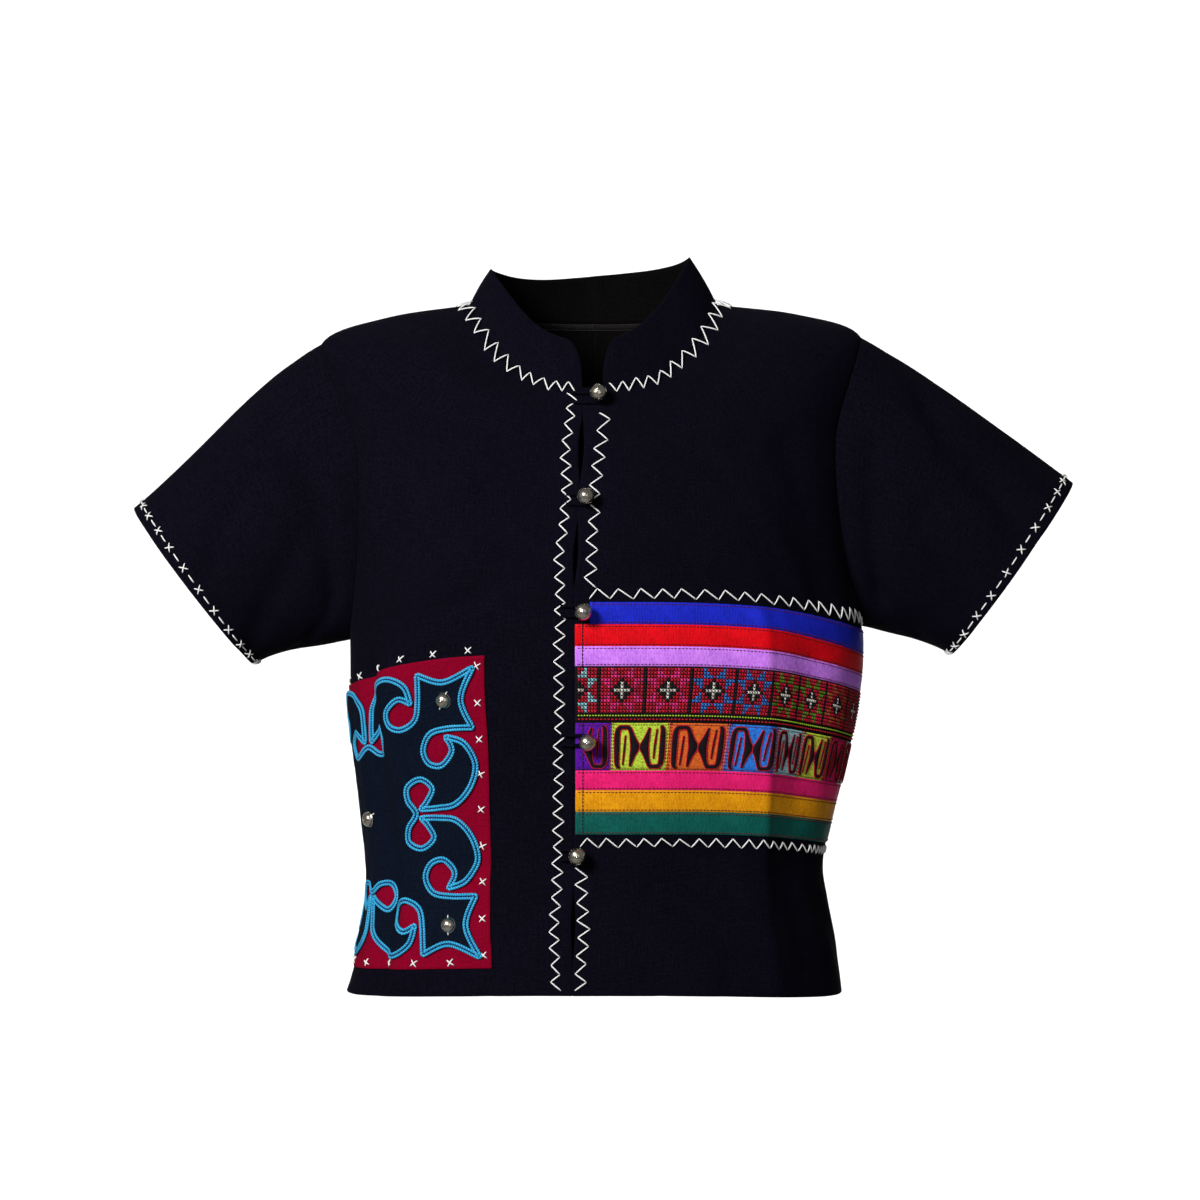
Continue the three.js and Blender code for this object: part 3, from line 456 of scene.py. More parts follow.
def on_patch(across, up, lift):
    across, up = np.broadcast_arrays(np.asarray(across, float), np.asarray(up, float))
    height = PATCH_HEIGHT + up
    return on_body(round_angle(across + table_curve(PATCH_MIDDLE, height), height), height, lift)


def patch_normal(across, up, lift):
    return unit(on_patch(across, up, np.asarray(lift) + 1) - on_patch(across, up, lift))


# Mesh making

def add_tint(mesh, tints):
    """A colour for each point, which the materials read by the name tint."""
    colours = np.concatenate([np.asarray(tints, float), np.ones((len(tints), 1))], axis=1)
    layer = mesh.color_attributes.new(name="tint", type="FLOAT_COLOR", domain="POINT")
    layer.data.foreach_set("color", colours.ravel())


def make_object(name, points, faces, materials, uvs=None, picks=None):
    mesh = bpy.data.meshes.new(name)
    mesh.from_pydata((np.asarray(points) * MM).tolist(), [], faces)
    if uvs is not None:
        layer = mesh.uv_layers.new(name="cloth")
        corner_points = np.empty(len(mesh.loops), int)
        mesh.loops.foreach_get("vertex_index", corner_points)
        layer.data.foreach_set("uv", np.asarray(uvs, float)[corner_points].ravel())
    for material in materials:
        mesh.materials.append(material)
    mesh.polygons.foreach_set("use_smooth", [True] * len(mesh.polygons))
    if picks is not None:
        mesh.polygons.foreach_set("material_index", picks)
    mesh.update()
    piece = bpy.data.objects.new(name, mesh)
    bpy.context.scene.collection.objects.link(piece)
    return piece


def add_piece(piece, slot, *nodes):
    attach(piece, "root")
    if nodes:
        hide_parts(*nodes)
    return piece


def mean_lengths(grid, axis):
    steps = np.linalg.norm(np.diff(grid, axis=axis), axis=2).mean(axis=1 - axis)
    return np.concatenate([[0], np.cumsum(steps)])


def grid_lengths(grid):
    """Distances across and up a grid of points, for a weave that follows the cloth."""
    return np.stack(np.meshgrid(mean_lengths(grid, 1), mean_lengths(grid, 0)), -1)


def rim_points(outer, inner, inside):
    """A rounded edge: the middle of the rim stands out a little from the two faces."""
    way = unit(outer - inside)
    thick = np.linalg.norm(outer - inner, axis=-1, keepdims=True)
    return (outer + inner) / 2 + way * thick * RIM_ROUND


def shell(name, outer, inner, materials, ring=False):
    """A thin cloth shell between two grids, with rounded rims. The inner face takes the second material."""
    rows, columns = outer.shape[:2]
    deep = rows * columns
    uv = grid_lengths(outer)
    index = np.arange(deep).reshape(rows, columns)
    whole = np.concatenate([index, index[:, :1]], axis=1) if ring else index
    quads = np.stack([whole[:-1, :-1], whole[:-1, 1:], whole[1:, 1:], whole[1:, :-1]], -1).reshape(-1, 4)
    points, uvs = [outer.reshape(-1, 3), inner.reshape(-1, 3)], [uv.reshape(-1, 2), uv.reshape(-1, 2)]
    faces = [quads, quads[:, ::-1] + deep]
    picks = [np.zeros(len(quads), int), np.full(len(quads), len(materials) - 1)]
    flat_inner = inner.reshape(-1, 3)
    flat_outer = outer.reshape(-1, 3)
    count = 2 * deep
    rims = [(index[0], index[1]), (index[-1][::-1], index[-2][::-1])]
    if not ring:
        rims += [(index[::-1, 0], index[::-1, 1]), (index[:, -1], index[:, -2])]
    for line, inside in rims:
        middle = rim_points(flat_outer[line], flat_inner[line], flat_outer[inside])
        number = count + np.arange(len(line))
        points.append(middle)
        uvs.append(uvs[0][line])
        count += len(line)
        if ring:
            line, number = np.append(line, line[0]), np.append(number, number[0])
        faces.append(np.stack([line[1:], line[:-1], number[:-1], number[1:]], -1))
        faces.append(np.stack([number[1:], number[:-1], line[:-1] + deep, line[1:] + deep], -1))
        picks.append(np.zeros(2 * len(line) - 2, int))
    faces = np.concatenate(faces)
    points = np.concatenate(points)
    if signed_volume(points, faces) < 0:
        faces = faces[:, ::-1]
    return make_object(name, points, faces.tolist(), materials, np.concatenate(uvs), np.concatenate(picks))


def signed_volume(points, faces):
    a, b, c, d = (points[faces[:, k]] for k in range(4))
    return float(np.sum(dot(a, np.cross(b, c)) + dot(a, np.cross(c, d))))


class Threads:
    """Many short stitches or bars, gathered into one mesh."""

    def __init__(self, sides=6, sections=5):
        self.sides, self.sections = sides, sections
        self.points, self.tints, self.count = [], [], 0

    def add(self, starts, ends, normals, radius, arch=0.5, flat=1.0, tint=(1, 1, 1), sink=0.35):
        starts, ends, normals = (np.asarray(v, float).reshape(-1, 3) for v in (starts, ends, normals))
        t = np.linspace(0, 1, self.sections)
        run = ends - starts
        rise = arch * np.sin(math.pi * t) ** 0.7 - sink * np.abs(2 * t - 1) ** 6
        middle = starts[:, None] + run[:, None] * t[:, None] + normals[:, None] * rise[:, None]
        along = unit(run)
        side = unit(np.cross(along, normals))
        up = np.cross(side, along)
        turn = circle(self.sides)[:, None]
        taper = 1 - 0.45 * np.abs(2 * t - 1) ** 5
        radius = np.broadcast_to(np.asarray(radius, float), (len(starts),))
        size = radius[:, None, None, None] * taper[:, None, None]
        ring = side[:, None, None] * np.cos(turn) + up[:, None, None] * np.sin(turn) * flat
        self.points.append((middle[:, :, None] + ring * size).reshape(-1, 3))
        tint = np.broadcast_to(np.asarray(tint, float), (len(starts), 3))
        self.tints.append(np.repeat(tint, self.sides * self.sections, axis=0))
        self.count += len(starts)

    def build(self, name, material):
        one = tube_faces(self.sections, self.sides, 0, False)
        base = np.arange(self.count)[:, None, None] * self.sides * self.sections
        faces = (np.array(one[:-2]) + base).reshape(-1, 4).tolist()
        faces += (np.array(one[-2:]) + base).reshape(-1, self.sides).tolist()
        points = np.concatenate(self.points)
        piece = make_object(name, points, faces, [material], points[:, [0, 2]])
        add_tint(piece.data, np.concatenate(self.tints))
        return piece


def tube_faces(count, sides, base, closed):
    index = base + np.arange(count * sides).reshape(count, sides)
    rows = np.concatenate([index, index[:1]]) if closed else index
    a, b = rows[:-1], rows[1:]
    quads = np.stack([a, b, np.roll(b, -1, axis=1), np.roll(a, -1, axis=1)], -1).reshape(-1, 4).tolist()
    if not closed:
        quads += [tuple(index[0].tolist()), tuple(index[-1][::-1].tolist())]
    return quads


def tube_points(path, normals, radius, sides, closed):
    path = np.asarray(path, float)
    if closed:
        along = unit(np.roll(path, -1, axis=0) - np.roll(path, 1, axis=0))
    else:
        along = unit(np.gradient(path, axis=0))
    side = unit(np.cross(along, normals))
    up = np.cross(side, along)
    turn = circle(sides)[:, None]
    ring = side[:, None] * np.cos(turn) + up[:, None] * np.sin(turn)
    return (path[:, None] + ring * radius).reshape(-1, 3)


def lathe(profile, sides, centre, normal):
    """Points and faces of a piece turned round a normal."""
    normal = unit(np.asarray(normal, float))
    side = unit(np.cross(normal, [0.0, 0.3, 1.0]))
    up = np.cross(normal, side)
    turn = circle(sides)[:, None]
    ring = side * np.cos(turn) + up * np.sin(turn)
    points = np.concatenate([centre + normal * rise + ring * max(radius, 0.01) for radius, rise in profile])
    return points, [face[::-1] for face in tube_faces(len(profile), sides, 0, False)]


# Materials: pitch of the woven threads and of the ribbons' ribs in millimetres, depths in metres

THREAD_PITCH = 0.55
WEAVE_DEPTH = 0.35 * MM
WOVEN_GLOSS = 0.02
RIB_PITCH = 1.1
RIB_DEPTH = 0.3 * MM
BLACK = (0.0, 0.0, 0.0)


def new_material(name, colour, roughness, metallic=0.0, sheen=0.0, gloss=0.2):
    material = bpy.data.materials.new(name)
    material.use_nodes = True
    shader = material.node_tree.nodes["Principled BSDF"]
    shader.inputs["Base Color"].default_value = (*colour, 1)
    shader.inputs["Roughness"].default_value = roughness
    shader.inputs["Metallic"].default_value = metallic
    shader.inputs["Sheen Weight"].default_value = sheen
    shader.inputs["Sheen Roughness"].default_value = 0.45
    shader.inputs["Specular IOR Level"].default_value = gloss
    return material, material.node_tree, shader


def node(tree, kind, **values):
    made = tree.nodes.new(kind)
    for key, value in values.items():
        if key in made.inputs:
            made.inputs[key].default_value = value
        else:
            setattr(made, key, value)
    return made


def link(tree, source, target):
    tree.links.new(source, target)


def feed(tree, value, socket):
    """A socket takes a link, a plain number or a colour."""
    if hasattr(value, "is_output"):
        link(tree, value, socket)
    else:
        socket.default_value = (*value, 1) if isinstance(value, tuple) else value


def math_node(tree, operation, a, b=0.0):
    made = node(tree, "ShaderNodeMath", operation=operation)
    feed(tree, a, made.inputs[0])
    feed(tree, b, made.inputs[1])
    return made.outputs[0]


def times(tree, a, b):
    return math_node(tree, "MULTIPLY", a, b)


def plus(tree, a, b):
    return math_node(tree, "ADD", a, b)


def mix_colour(tree, share, first, second):
    made = node(tree, "ShaderNodeMix", data_type="RGBA")
    for number, value in ((0, share), (6, first), (7, second)):
        feed(tree, value, made.inputs[number])
    return made.outputs[2]


def noise(tree, vector, scale, detail=2.0, roughness=0.5):
    made = node(tree, "ShaderNodeTexNoise", Scale=scale, Detail=detail, Roughness=roughness)
    link(tree, vector, made.inputs["Vector"])
    return made.outputs["Fac"]


def stretched_noise(tree, vector, x, y, detail=2.0, roughness=0.5):
    """Noise with its own fineness across and up the cloth."""
    made = node(tree, "ShaderNodeMapping", Scale=(x, y, 1.0))
    link(tree, vector, made.inputs["Vector"])
    return noise(tree, made.outputs["Vector"], 1.0, detail, roughness)


def flat_place(tree):
    """Where a point lies on the flat cloth, in millimetres: the pair, across and up."""
    uv = node(tree, "ShaderNodeUVMap", uv_map="cloth").outputs["UV"]
    parts = node(tree, "ShaderNodeSeparateXYZ")
    link(tree, uv, parts.inputs[0])
    return uv, parts.outputs["X"], parts.outputs["Y"]


def wave(tree, value, period):
    return math_node(tree, "SINE", times(tree, value, 2 * math.pi / period))


def bump(tree, shader, height, strength, distance):
    made = node(tree, "ShaderNodeBump", Strength=strength, Distance=distance)
    link(tree, height, made.inputs["Height"])
    link(tree, made.outputs["Normal"], shader.inputs["Normal"])


def woven(name, colour, second, roughness, sheen):
    """Plain weave with slubs: warp and weft ridges, uneven threads and a slow change of colour."""
    material, tree, shader = new_material(name, colour, roughness, sheen=sheen, gloss=WOVEN_GLOSS)
    uv, across, up = flat_place(tree)
    cross = times(tree, wave(tree, across, THREAD_PITCH), wave(tree, up, THREAD_PITCH))
    slubs = plus(tree, stretched_noise(tree, uv, 0.07, 1.5), stretched_noise(tree, uv, 1.4, 0.06))
    slow = noise(tree, uv, 0.02, 3.0)
    bump(tree, shader, plus(tree, times(tree, cross, 0.35), slubs), 0.55, WEAVE_DEPTH)
    fleck = math_node(tree, "POWER", times(tree, slubs, 0.5), 2.2)
    share = plus(tree, times(tree, fleck, 1.5), times(tree, slow, 0.3))
    grain = math_node(tree, "SUBTRACT", noise(tree, uv, 0.55, 3.0, 0.75), 0.5)
    share = plus(tree, share, times(tree, grain, 1.6))
    link(tree, mix_colour(tree, share, colour, second), shader.inputs["Base Color"])
    link(tree, plus(tree, times(tree, slow, 0.16), roughness - 0.08), shader.inputs["Roughness"])
    return material


def satin(name, colour, darker):
    """Ribbon: fine ribs across its width, a sheen, and slightly uneven dye."""
    material, tree, shader = new_material(name, colour, 0.5, sheen=0.01, gloss=0.07)
    uv, across, _ = flat_place(tree)
    fine = stretched_noise(tree, uv, 1.2, 0.15)
    grain = noise(tree, uv, 0.5, 4.0, 0.7)
    slow = noise(tree, uv, 0.06, 3.0)
    bump(tree, shader, plus(tree, times(tree, wave(tree, across, RIB_PITCH), 0.25), fine), 0.55, RIB_DEPTH)
    mottled = plus(tree, times(tree, grain, 1.5), plus(tree, fine, slow))
    share = math_node(tree, "SUBTRACT", mottled, 1.15)
    link(tree, mix_colour(tree, share, darker, colour), shader.inputs["Base Color"])
    link(tree, plus(tree, times(tree, fine, 0.2), 0.36), shader.inputs["Roughness"])
    return material


def yarn(name, colour, darker, tinted=False, roughness=0.7):
    """Thread: fibres as fine noise, with painted shade in its hollows. tinted takes the colour of the mesh.
    """
    material, tree, shader = new_material(name, colour, roughness, sheen=0.04)
    place = node(tree, "ShaderNodeTexCoord").outputs["Object"]
    ply = noise(tree, place, 1100.0)
    bump(tree, shader, ply, 0.6, RIB_DEPTH)
    # Painted shade: the darker colour falls where the ply bump is low, in the thread's hollows; the coarser
    # noise adds random tone.
    share = times(tree, plus(tree, ply, noise(tree, place, 60.0)), 0.75)
    if tinted:
        colour = node(tree, "ShaderNodeAttribute", attribute_name="tint").outputs["Color"]
        # A tinted thread's painted shade colour is its tint darkened towards black.
        darker = mix_colour(tree, 0.45, colour, BLACK)
    link(tree, mix_colour(tree, share, darker, colour), shader.inputs["Base Color"])
    return material


def metal(name, colour, tarnish):
    material, tree, shader = new_material(name, colour, 0.22, metallic=1.0, gloss=0.5)
    place = node(tree, "ShaderNodeTexCoord").outputs["Object"]
    stain = noise(tree, place, 260.0, 4.0, 0.6)
    share = math_node(tree, "POWER", stain, 1.2)
    link(tree, mix_colour(tree, share, colour, tarnish), shader.inputs["Base Color"])
    link(tree, plus(tree, times(tree, stain, 0.3), 0.08), shader.inputs["Roughness"])
    bump(tree, shader, noise(tree, place, 1500.0), 0.15, 0.15 * MM)
    return material


def cord_look():
    """Light blue cord, its plies twisted round it, with painted shade in the grooves between the plies."""
    light, dark = (0.055, 0.50, 0.80), (0.006, 0.085, 0.25)
    material, tree, shader = new_material("couched blue cord", light, 0.6, sheen=0.01, gloss=0.08)
    uv, along, round_it = flat_place(tree)
    twist = plus(tree, along, times(tree, round_it, 0.25))
    ply = plus(tree, times(tree, wave(tree, twist, 1.8), 0.5), 0.5)
    bump(tree, shader, ply, 0.9, 0.45 * MM)
    # Painted shade: the dark blue lies where the ply bump is low, in the grooves between plies; the slow
    # noise adds random tone.
    share = times(tree, plus(tree, ply, noise(tree, uv, 0.08)), 0.62)
    link(tree, mix_colour(tree, share, dark, light), shader.inputs["Base Color"])
    return material


def squares_look():
    """Printed-looking cotton in the colour of each square, with dark specks."""
    material, tree, shader = new_material("coloured squares", (0.5, 0.5, 0.5), 0.75, sheen=0.01, gloss=0.05)
    tint = node(tree, "ShaderNodeAttribute", attribute_name="tint").outputs["Color"]
    fleck = stretched_noise(tree, flat_place(tree)[0], 0.45, 0.8, 3.0, 0.75)
    share = math_node(tree, "SUBTRACT", times(tree, fleck, 5.0), 1.65)
    link(tree, mix_colour(tree, share, mix_colour(tree, 0.7, tint, BLACK), tint), shader.inputs["Base Color"])
    bump(tree, shader, fleck, 0.5, 0.4 * MM)
    return material


NAVY = woven("navy cotton", (0.0008, 0.0008, 0.0028), (0.0060, 0.0052, 0.0113), 0.88, 0.003)
INSIDE = woven("navy cotton inside", (0.0012, 0.0011, 0.0011), (0.0056, 0.0051, 0.0049), 0.9, 0.002)
MAROON = woven("maroon cotton", (0.15, 0.0004, 0.010), (0.27, 0.0012, 0.022), 0.85, 0.004)
APPLIQUE = woven("navy applique cotton", (0.0012, 0.0026, 0.0080), (0.0058, 0.0095, 0.0200), 0.86, 0.003)
# The second colour of each thread is its painted shade in the hollows.
WHITE_THREAD = yarn("white cotton thread", (0.93, 0.93, 0.90), (0.50, 0.50, 0.51))
TINTED_THREAD = yarn("embroidery thread", (0.5, 0.5, 0.5), (0.2, 0.2, 0.2), tinted=True, roughness=0.6)
SILVER = metal("silver", (0.90, 0.85, 0.74), (0.26, 0.20, 0.13))
RIBBON_LOOKS = {
    "ribbon_blue": satin("blue ribbon", (0.012, 0.024, 0.60), (0.006, 0.010, 0.26)),
    "ribbon_red": satin("red ribbon", (0.86, 0.003, 0.010), (0.40, 0.001, 0.004)),
    "ribbon_lilac": satin("lilac ribbon", (0.74, 0.27, 1.00), (0.34, 0.09, 0.62)),
    "ribbon_pink": satin("pink ribbon", (0.94, 0.018, 0.20), (0.50, 0.006, 0.085)),
    "ribbon_gold": satin("gold ribbon", (0.86, 0.37, 0.006), (0.46, 0.15, 0.002)),
    "ribbon_green": satin("green ribbon", (0.005, 0.115, 0.095), (0.002, 0.050, 0.042)),
}


# Body panels, sleeves and collar

LOW_HEIGHTS = np.linspace(HEM, ARMHOLE_FOOT, 100)[:-1]
ARM_TURNS = np.linspace(math.pi, 0, 41)
YOKE_HEIGHTS = np.linspace(ARMHOLE_TOP, NECK, 18)[1:]


def panel_rows():
    rows = [(height, None) for height in LOW_HEIGHTS]
    rows += [(float(armhole_at(LEFT, turn)[1]), turn) for turn in ARM_TURNS]
    return rows + [(height, None) for height in YOKE_HEIGHTS]


def side_edge(side, facing, height, turn):
    seam = side * QUARTER
    aside = angle_for(GAP / 2, seam, height) * side * facing
    beside = turn is not None and 0.01 < turn < math.pi - 0.01
    return float(armhole_at(side, turn * facing)[0]) if beside else seam - aside


def panel(name, columns, edges_at, seam_sides, facing):
    """A body panel. edges_at gives its two edges' angles, and seam_sides the armhole that each one meets."""
    outer, inner = [], []
    for height, turn in panel_rows():
        angles = np.linspace(*edges_at(height, turn), columns + 1)
        back = neck_face(angles)[0] if height == NECK else -body_normal(angles, height)
        for edge, side in zip((0, -1), seam_sides):
            if turn is not None and side:
                back[edge] = armhole_face(side, np.array([turn * facing]))[0][0]
        outer.append(body_point(angles, height))
        inner.append(outer[-1] + back * CLOTH)
    return shell(name, np.array(outer), np.array(inner), [NAVY, INSIDE])


def front_edges(side):
    def edges(height, turn):
        return float(front_angle(opening_edge(side, height), height)), side_edge(side, 1, height, turn)
    return edges


def back_edges(height, turn):
    return side_edge(RIGHT, -1, height, turn), side_edge(LEFT, -1, height, turn) - 2 * math.pi


def make_body():
    pieces = {
        "front_right": panel("front_right_cloth", 84, front_edges(RIGHT), (None, RIGHT), 1),
        "front_left": panel("front_left_cloth", 84, front_edges(LEFT), (None, LEFT), 1),
        "back": panel("back_cloth", 150, back_edges, (RIGHT, LEFT), -1),
    }
    for name, piece in pieces.items():
        add_piece(piece, "navy_cotton", name)
    return pieces


def make_sleeve(side, name):
    turns = circle(160)
    alongs = np.concatenate([[0, 0.012, 0.03], np.linspace(0.05, 1, 62)])
    grid_turn, grid_along = np.meshgrid(turns, alongs)
    point, normal = sleeve_surface(side, grid_turn, grid_along)
    inner = point - normal * CLOTH
    inner[0] = point[0] + armhole_face(side, turns)[0] * CLOTH
    return add_piece(shell(name + "_cloth", point, inner, [NAVY, INSIDE], ring=True), "navy_cotton", name)


COLLAR_START = float(front_angle(COLLAR_LEFT_X, NECK))
COLLAR_END = float(front_angle(COLLAR_RIGHT_X, NECK)) + 2 * math.pi


def collar_frame(angle, share):
    """Point and outward normal of the collar's outer face, share 0 at the seam and 1 at its top edge."""
    angle, share = np.broadcast_arrays(np.asarray(angle, float), np.asarray(share, float))
    seat = body_point(angle, NECK)
    from_ends = [np.linalg.norm(seat - body_point(end, NECK), axis=-1) for end in (COLLAR_START, COLLAR_END)]
    front_side = np.where(np.cos(angle) > 0, np.sin(2 * angle) ** 2, 0)
    full = COLLAR_HEIGHT + COLLAR_HIGHER_LEFT * np.sin(angle) + COLLAR_HIGHER_FRONT * front_side
    held = np.minimum(1, np.minimum(*from_ends) / COLLAR_CORNER)
    height = COLLAR_END_HEIGHT + (full - COLLAR_END_HEIGHT) * np.sqrt(1 - (1 - held) ** 2)
    back, across, normal = neck_face(angle)
    belly = 0.8 * np.sin(math.pi * share)
    rise = collar_heading(angle) * (height * share)[..., None]
    point = seat + across * GAP + rise + normal * belly[..., None]
    return point, normal, back


def make_collar():
    corner = 0.22
    ease = np.linspace(0, 1, 15) ** 2 * corner
    middle = np.linspace(COLLAR_START + corner, COLLAR_END - corner, 200)[1:-1]
    angles = np.concatenate([COLLAR_START + ease, middle, (COLLAR_END - ease)[::-1]])
    point, normal, back = collar_frame(*np.meshgrid(angles, np.linspace(0, 1, 15)))
    inner = point - normal * COLLAR_CLOTH
    inner[0] = point[0] + back[0] * COLLAR_CLOTH
    return add_piece(shell("collar_cloth", point, inner, [NAVY, INSIDE]), "navy_cotton", "collar")


# Ribbon band

def band_start(name, height):
    if name == "ribbon_blue":
        return np.full(np.shape(height), BLUE_RIBBON_X)
    return opening_edge(LEFT, height) + BAND_INSET


def band_angle(name, share, height):
    """The angle at a share of a ribbon's length, from its front end to the side seam."""
    start = front_angle(band_start(name, height), height)
    end = QUARTER - angle_for(GAP / 2, QUARTER, height)
    return start + (end - start) * share


BAND_SHARES = np.linspace(0, 1, 1001)
# A machine stitch lies flat: how it arches, how flat it is and how far its ends sink
MACHINE = {"arch": 0.12, "flat": 0.8, "sink": 0.1}


def band_lengths(name, height):
    return lengths_along(body_point(band_angle(name, BAND_SHARES, float(height)), height))


def band_share(name, distance, height):
    return np.interp(distance, band_lengths(name, height), BAND_SHARES)


def band_place(name, share, height, lift):
    """Point and normal on the band, at a share of a ribbon's length."""
    angle = band_angle(name, share, height)
    return on_body(angle, height, lift), body_normal(angle, height)


def band_strip(name, foot, top, look, slot):
    shares, heights = np.linspace(0, 1, 130), np.linspace(foot + GAP / 2, top - GAP / 2, 9)
    share, height = np.meshgrid(shares, heights)
    crown = np.sin(math.pi * (height - foot) / (top - foot))
    swell = 0.22 * crown + 0.1 * np.sin(share * 190 + height) * (1 - crown)
    outer, _ = band_place(name, share, height, GAP + RIBBON + swell)
    inner, _ = band_place(name, share, height, GAP)
    return add_piece(shell(name + "_cloth", outer, inner, [look]), slot, name)


def edge_stitches(threads, name, height, tint, pitch=2.6, lift=1.05, radius=0.24):
    """Fine machine stitches along a ribbon at one height."""
    total = band_lengths(name, height)[-1]
    starts = np.arange(1.5, total - 2, pitch)
    place, normals = band_place(name, band_share(name, starts, height), height, lift)
    ahead, _ = band_place(name, band_share(name, starts + pitch * 0.72, height), height, lift)
    threads.add(place, ahead, normals, radius, tint=tint, **MACHINE)


def make_ribbons():
    pieces = [band_strip(name, foot, top, RIBBON_LOOKS[name], name) for name, foot, top in RIBBONS]
    threads = Threads(5, 3)
    for name, foot, top in RIBBONS:
        for height in (foot + 1.4, top - 1.4):
            edge_stitches(threads, name, height, EDGE_RED, radius=0.36)
    lows = np.arange(RIBBONS[0][1] + 1, BLUE_FOOT, 2.6)
    heights = np.stack([lows, lows + 2.2])
    place, normal = body_xy(opening_edge(LEFT, heights) + BAND_INSET + END_STITCH, heights, 1.1)
    threads.add(place[0], place[1], normal[0], 0.52, 0.1, 0.8, END_DARK, 0.1)
    add_piece(threads.build("ribbon_edge_stitches", TINTED_THREAD), "cross_stitch")
    return pieces


# Cross-stitch strip: counted crosses on black cloth, one square repeated with its own star colour.
# The chart is one quarter of a square, from its outer corner to its middle, mirrored both ways:
# r red, k black, s the star's colour, w cream.
SQUARE_CHART = (
    "rrrsrrr",
    "rrrssrr",
    "rrrsssr",
    "sssrrrk",
    "rssrrkw",
    "rrsrkkw",
    "rrrkwww",
)
THREAD_COLOURS = {
    "r": (0.66, 0.006, 0.036), "k": (0.006, 0.006, 0.009), "w": (0.86, 0.82, 0.72),
}
AQUA = (0.34, 0.74, 0.82)
HOT_PINK = (0.96, 0.035, 0.25)
BLUE = (0.045, 0.22, 0.74)
GREEN = (0.14, 0.33, 0.015)
STAR_COLOURS = (
    AQUA, HOT_PINK, HOT_PINK, BLUE, BLUE, GREEN, GREEN, (0.55, 0.12, 0.02), (0.28, 0.05, 0.04),
    (0.08, 0.5, 0.6),
)
# How far along the strip the black bars between squares stand
CROSS_BARS = (-15.8, 16.4, 48.6, 80.8, 113, 139, 165, 191, 217, 243, 269)
CROSS_COUNT = 13
CROSS_UP = 2.44
CROSS_REACH = 0.40

# Rows of stitches under the squares: height, colour and length
STRIP_LINES = ((CROSS_FOOT - 1.0, (0.4, 0.62, 0.03), 2.0), (CROSS_FOOT - 3.6, (0.5, 0.006, 0.015), 2.6))


def chart_colour(row, column, square):
    middle = CROSS_COUNT // 2
    mark = SQUARE_CHART[min(row, 2 * middle - row)][min(column, 2 * middle - column)]
    return STAR_COLOURS[square] if mark == "s" else THREAD_COLOURS[mark]


def cross_row(threads, name, centre, height, pitch, colour):
    """Two slanting stitches at each place of one row, the upper one lighter: the under one is darkened with
    painted shade.
    """
    middle = (CROSS_FOOT + CROSS_TOP) / 2
    lift = GAP + RIBBON + 0.45
    _, normals = band_place(name, band_share(name, centre, middle), height, lift)
    # Painted shade: the under stitch takes 0.7 of its colour, the upper one all of it.
    for slope, light in ((1, 0.7), (-1, 1.0)):
        ends = []
        for sign in (-1, 1):
            share = band_share(name, centre + sign * pitch * CROSS_REACH, middle)
            ends.append(band_place(name, share, height + sign * slope * CROSS_UP * CROSS_REACH, lift)[0])
        threads.add(*ends, normals, pitch * 0.19, 0.22, 0.8, colour * light, 0.2)


def make_cross_strip():
    name = "strip_cross_stitch"
    look = woven("black evenweave", (0.006, 0.004, 0.005), (0.016, 0.010, 0.012), 0.85, 0.01)
    base = band_strip(name, CROSS_FOOT - 6.3, CROSS_TOP, look, "cross_stitch")
    threads = Threads(5, 4)
    total = band_lengths(name, (CROSS_FOOT + CROSS_TOP) / 2)[-1]
    for square, (left, right) in enumerate(zip(CROSS_BARS, CROSS_BARS[1:])):
        pitch = (right - left) / (CROSS_COUNT + 1)
        columns = np.arange(CROSS_COUNT + 1)
        centre = left + columns * pitch
        keep = (centre > 0.9) & (centre < total - 1.2)
        columns, centre = columns[keep], centre[keep]
        for row in range(CROSS_COUNT):
            height = CROSS_TOP - 0.9 - (row + 0.5) * CROSS_UP
            colour = [chart_colour(row, c - 1, square) if c else THREAD_COLOURS["k"] for c in columns]
            colour = np.reshape(colour, (-1, 3)) * draws.uniform(0.62, 1.2, (len(columns), 1))
            cross_row(threads, name, centre, height, pitch, colour)
    add_piece(threads.build("cross_stitches", TINTED_THREAD), "cross_stitch")
    lines = Threads(5, 3)
    for height, tint, pitch in STRIP_LINES:
        edge_stitches(lines, name, height, tint, pitch, GAP + RIBBON + 0.45, 0.62)
    add_piece(lines.build("strip_lines", TINTED_THREAD), "cross_stitch")
    return base


# Strip of coloured squares: how far along each one's edges stand, the first cut by the front end
SQUARE_EDGES = (-15.4, 24.7, 64.8, 106.6, 143.9, 169, 196, 220, 254)
SQUARE_COLOURS = (
    (0.10, 0.008, 0.34), (0.48, 0.66, 0.05), (0.76, 0.14, 0.025), (0.03, 0.2, 0.76), (0.46, 0.88, 0.95),
    (0.64, 0.84, 0.07), (0.76, 0.02, 0.16), (0.88, 0.90, 0.90),
)
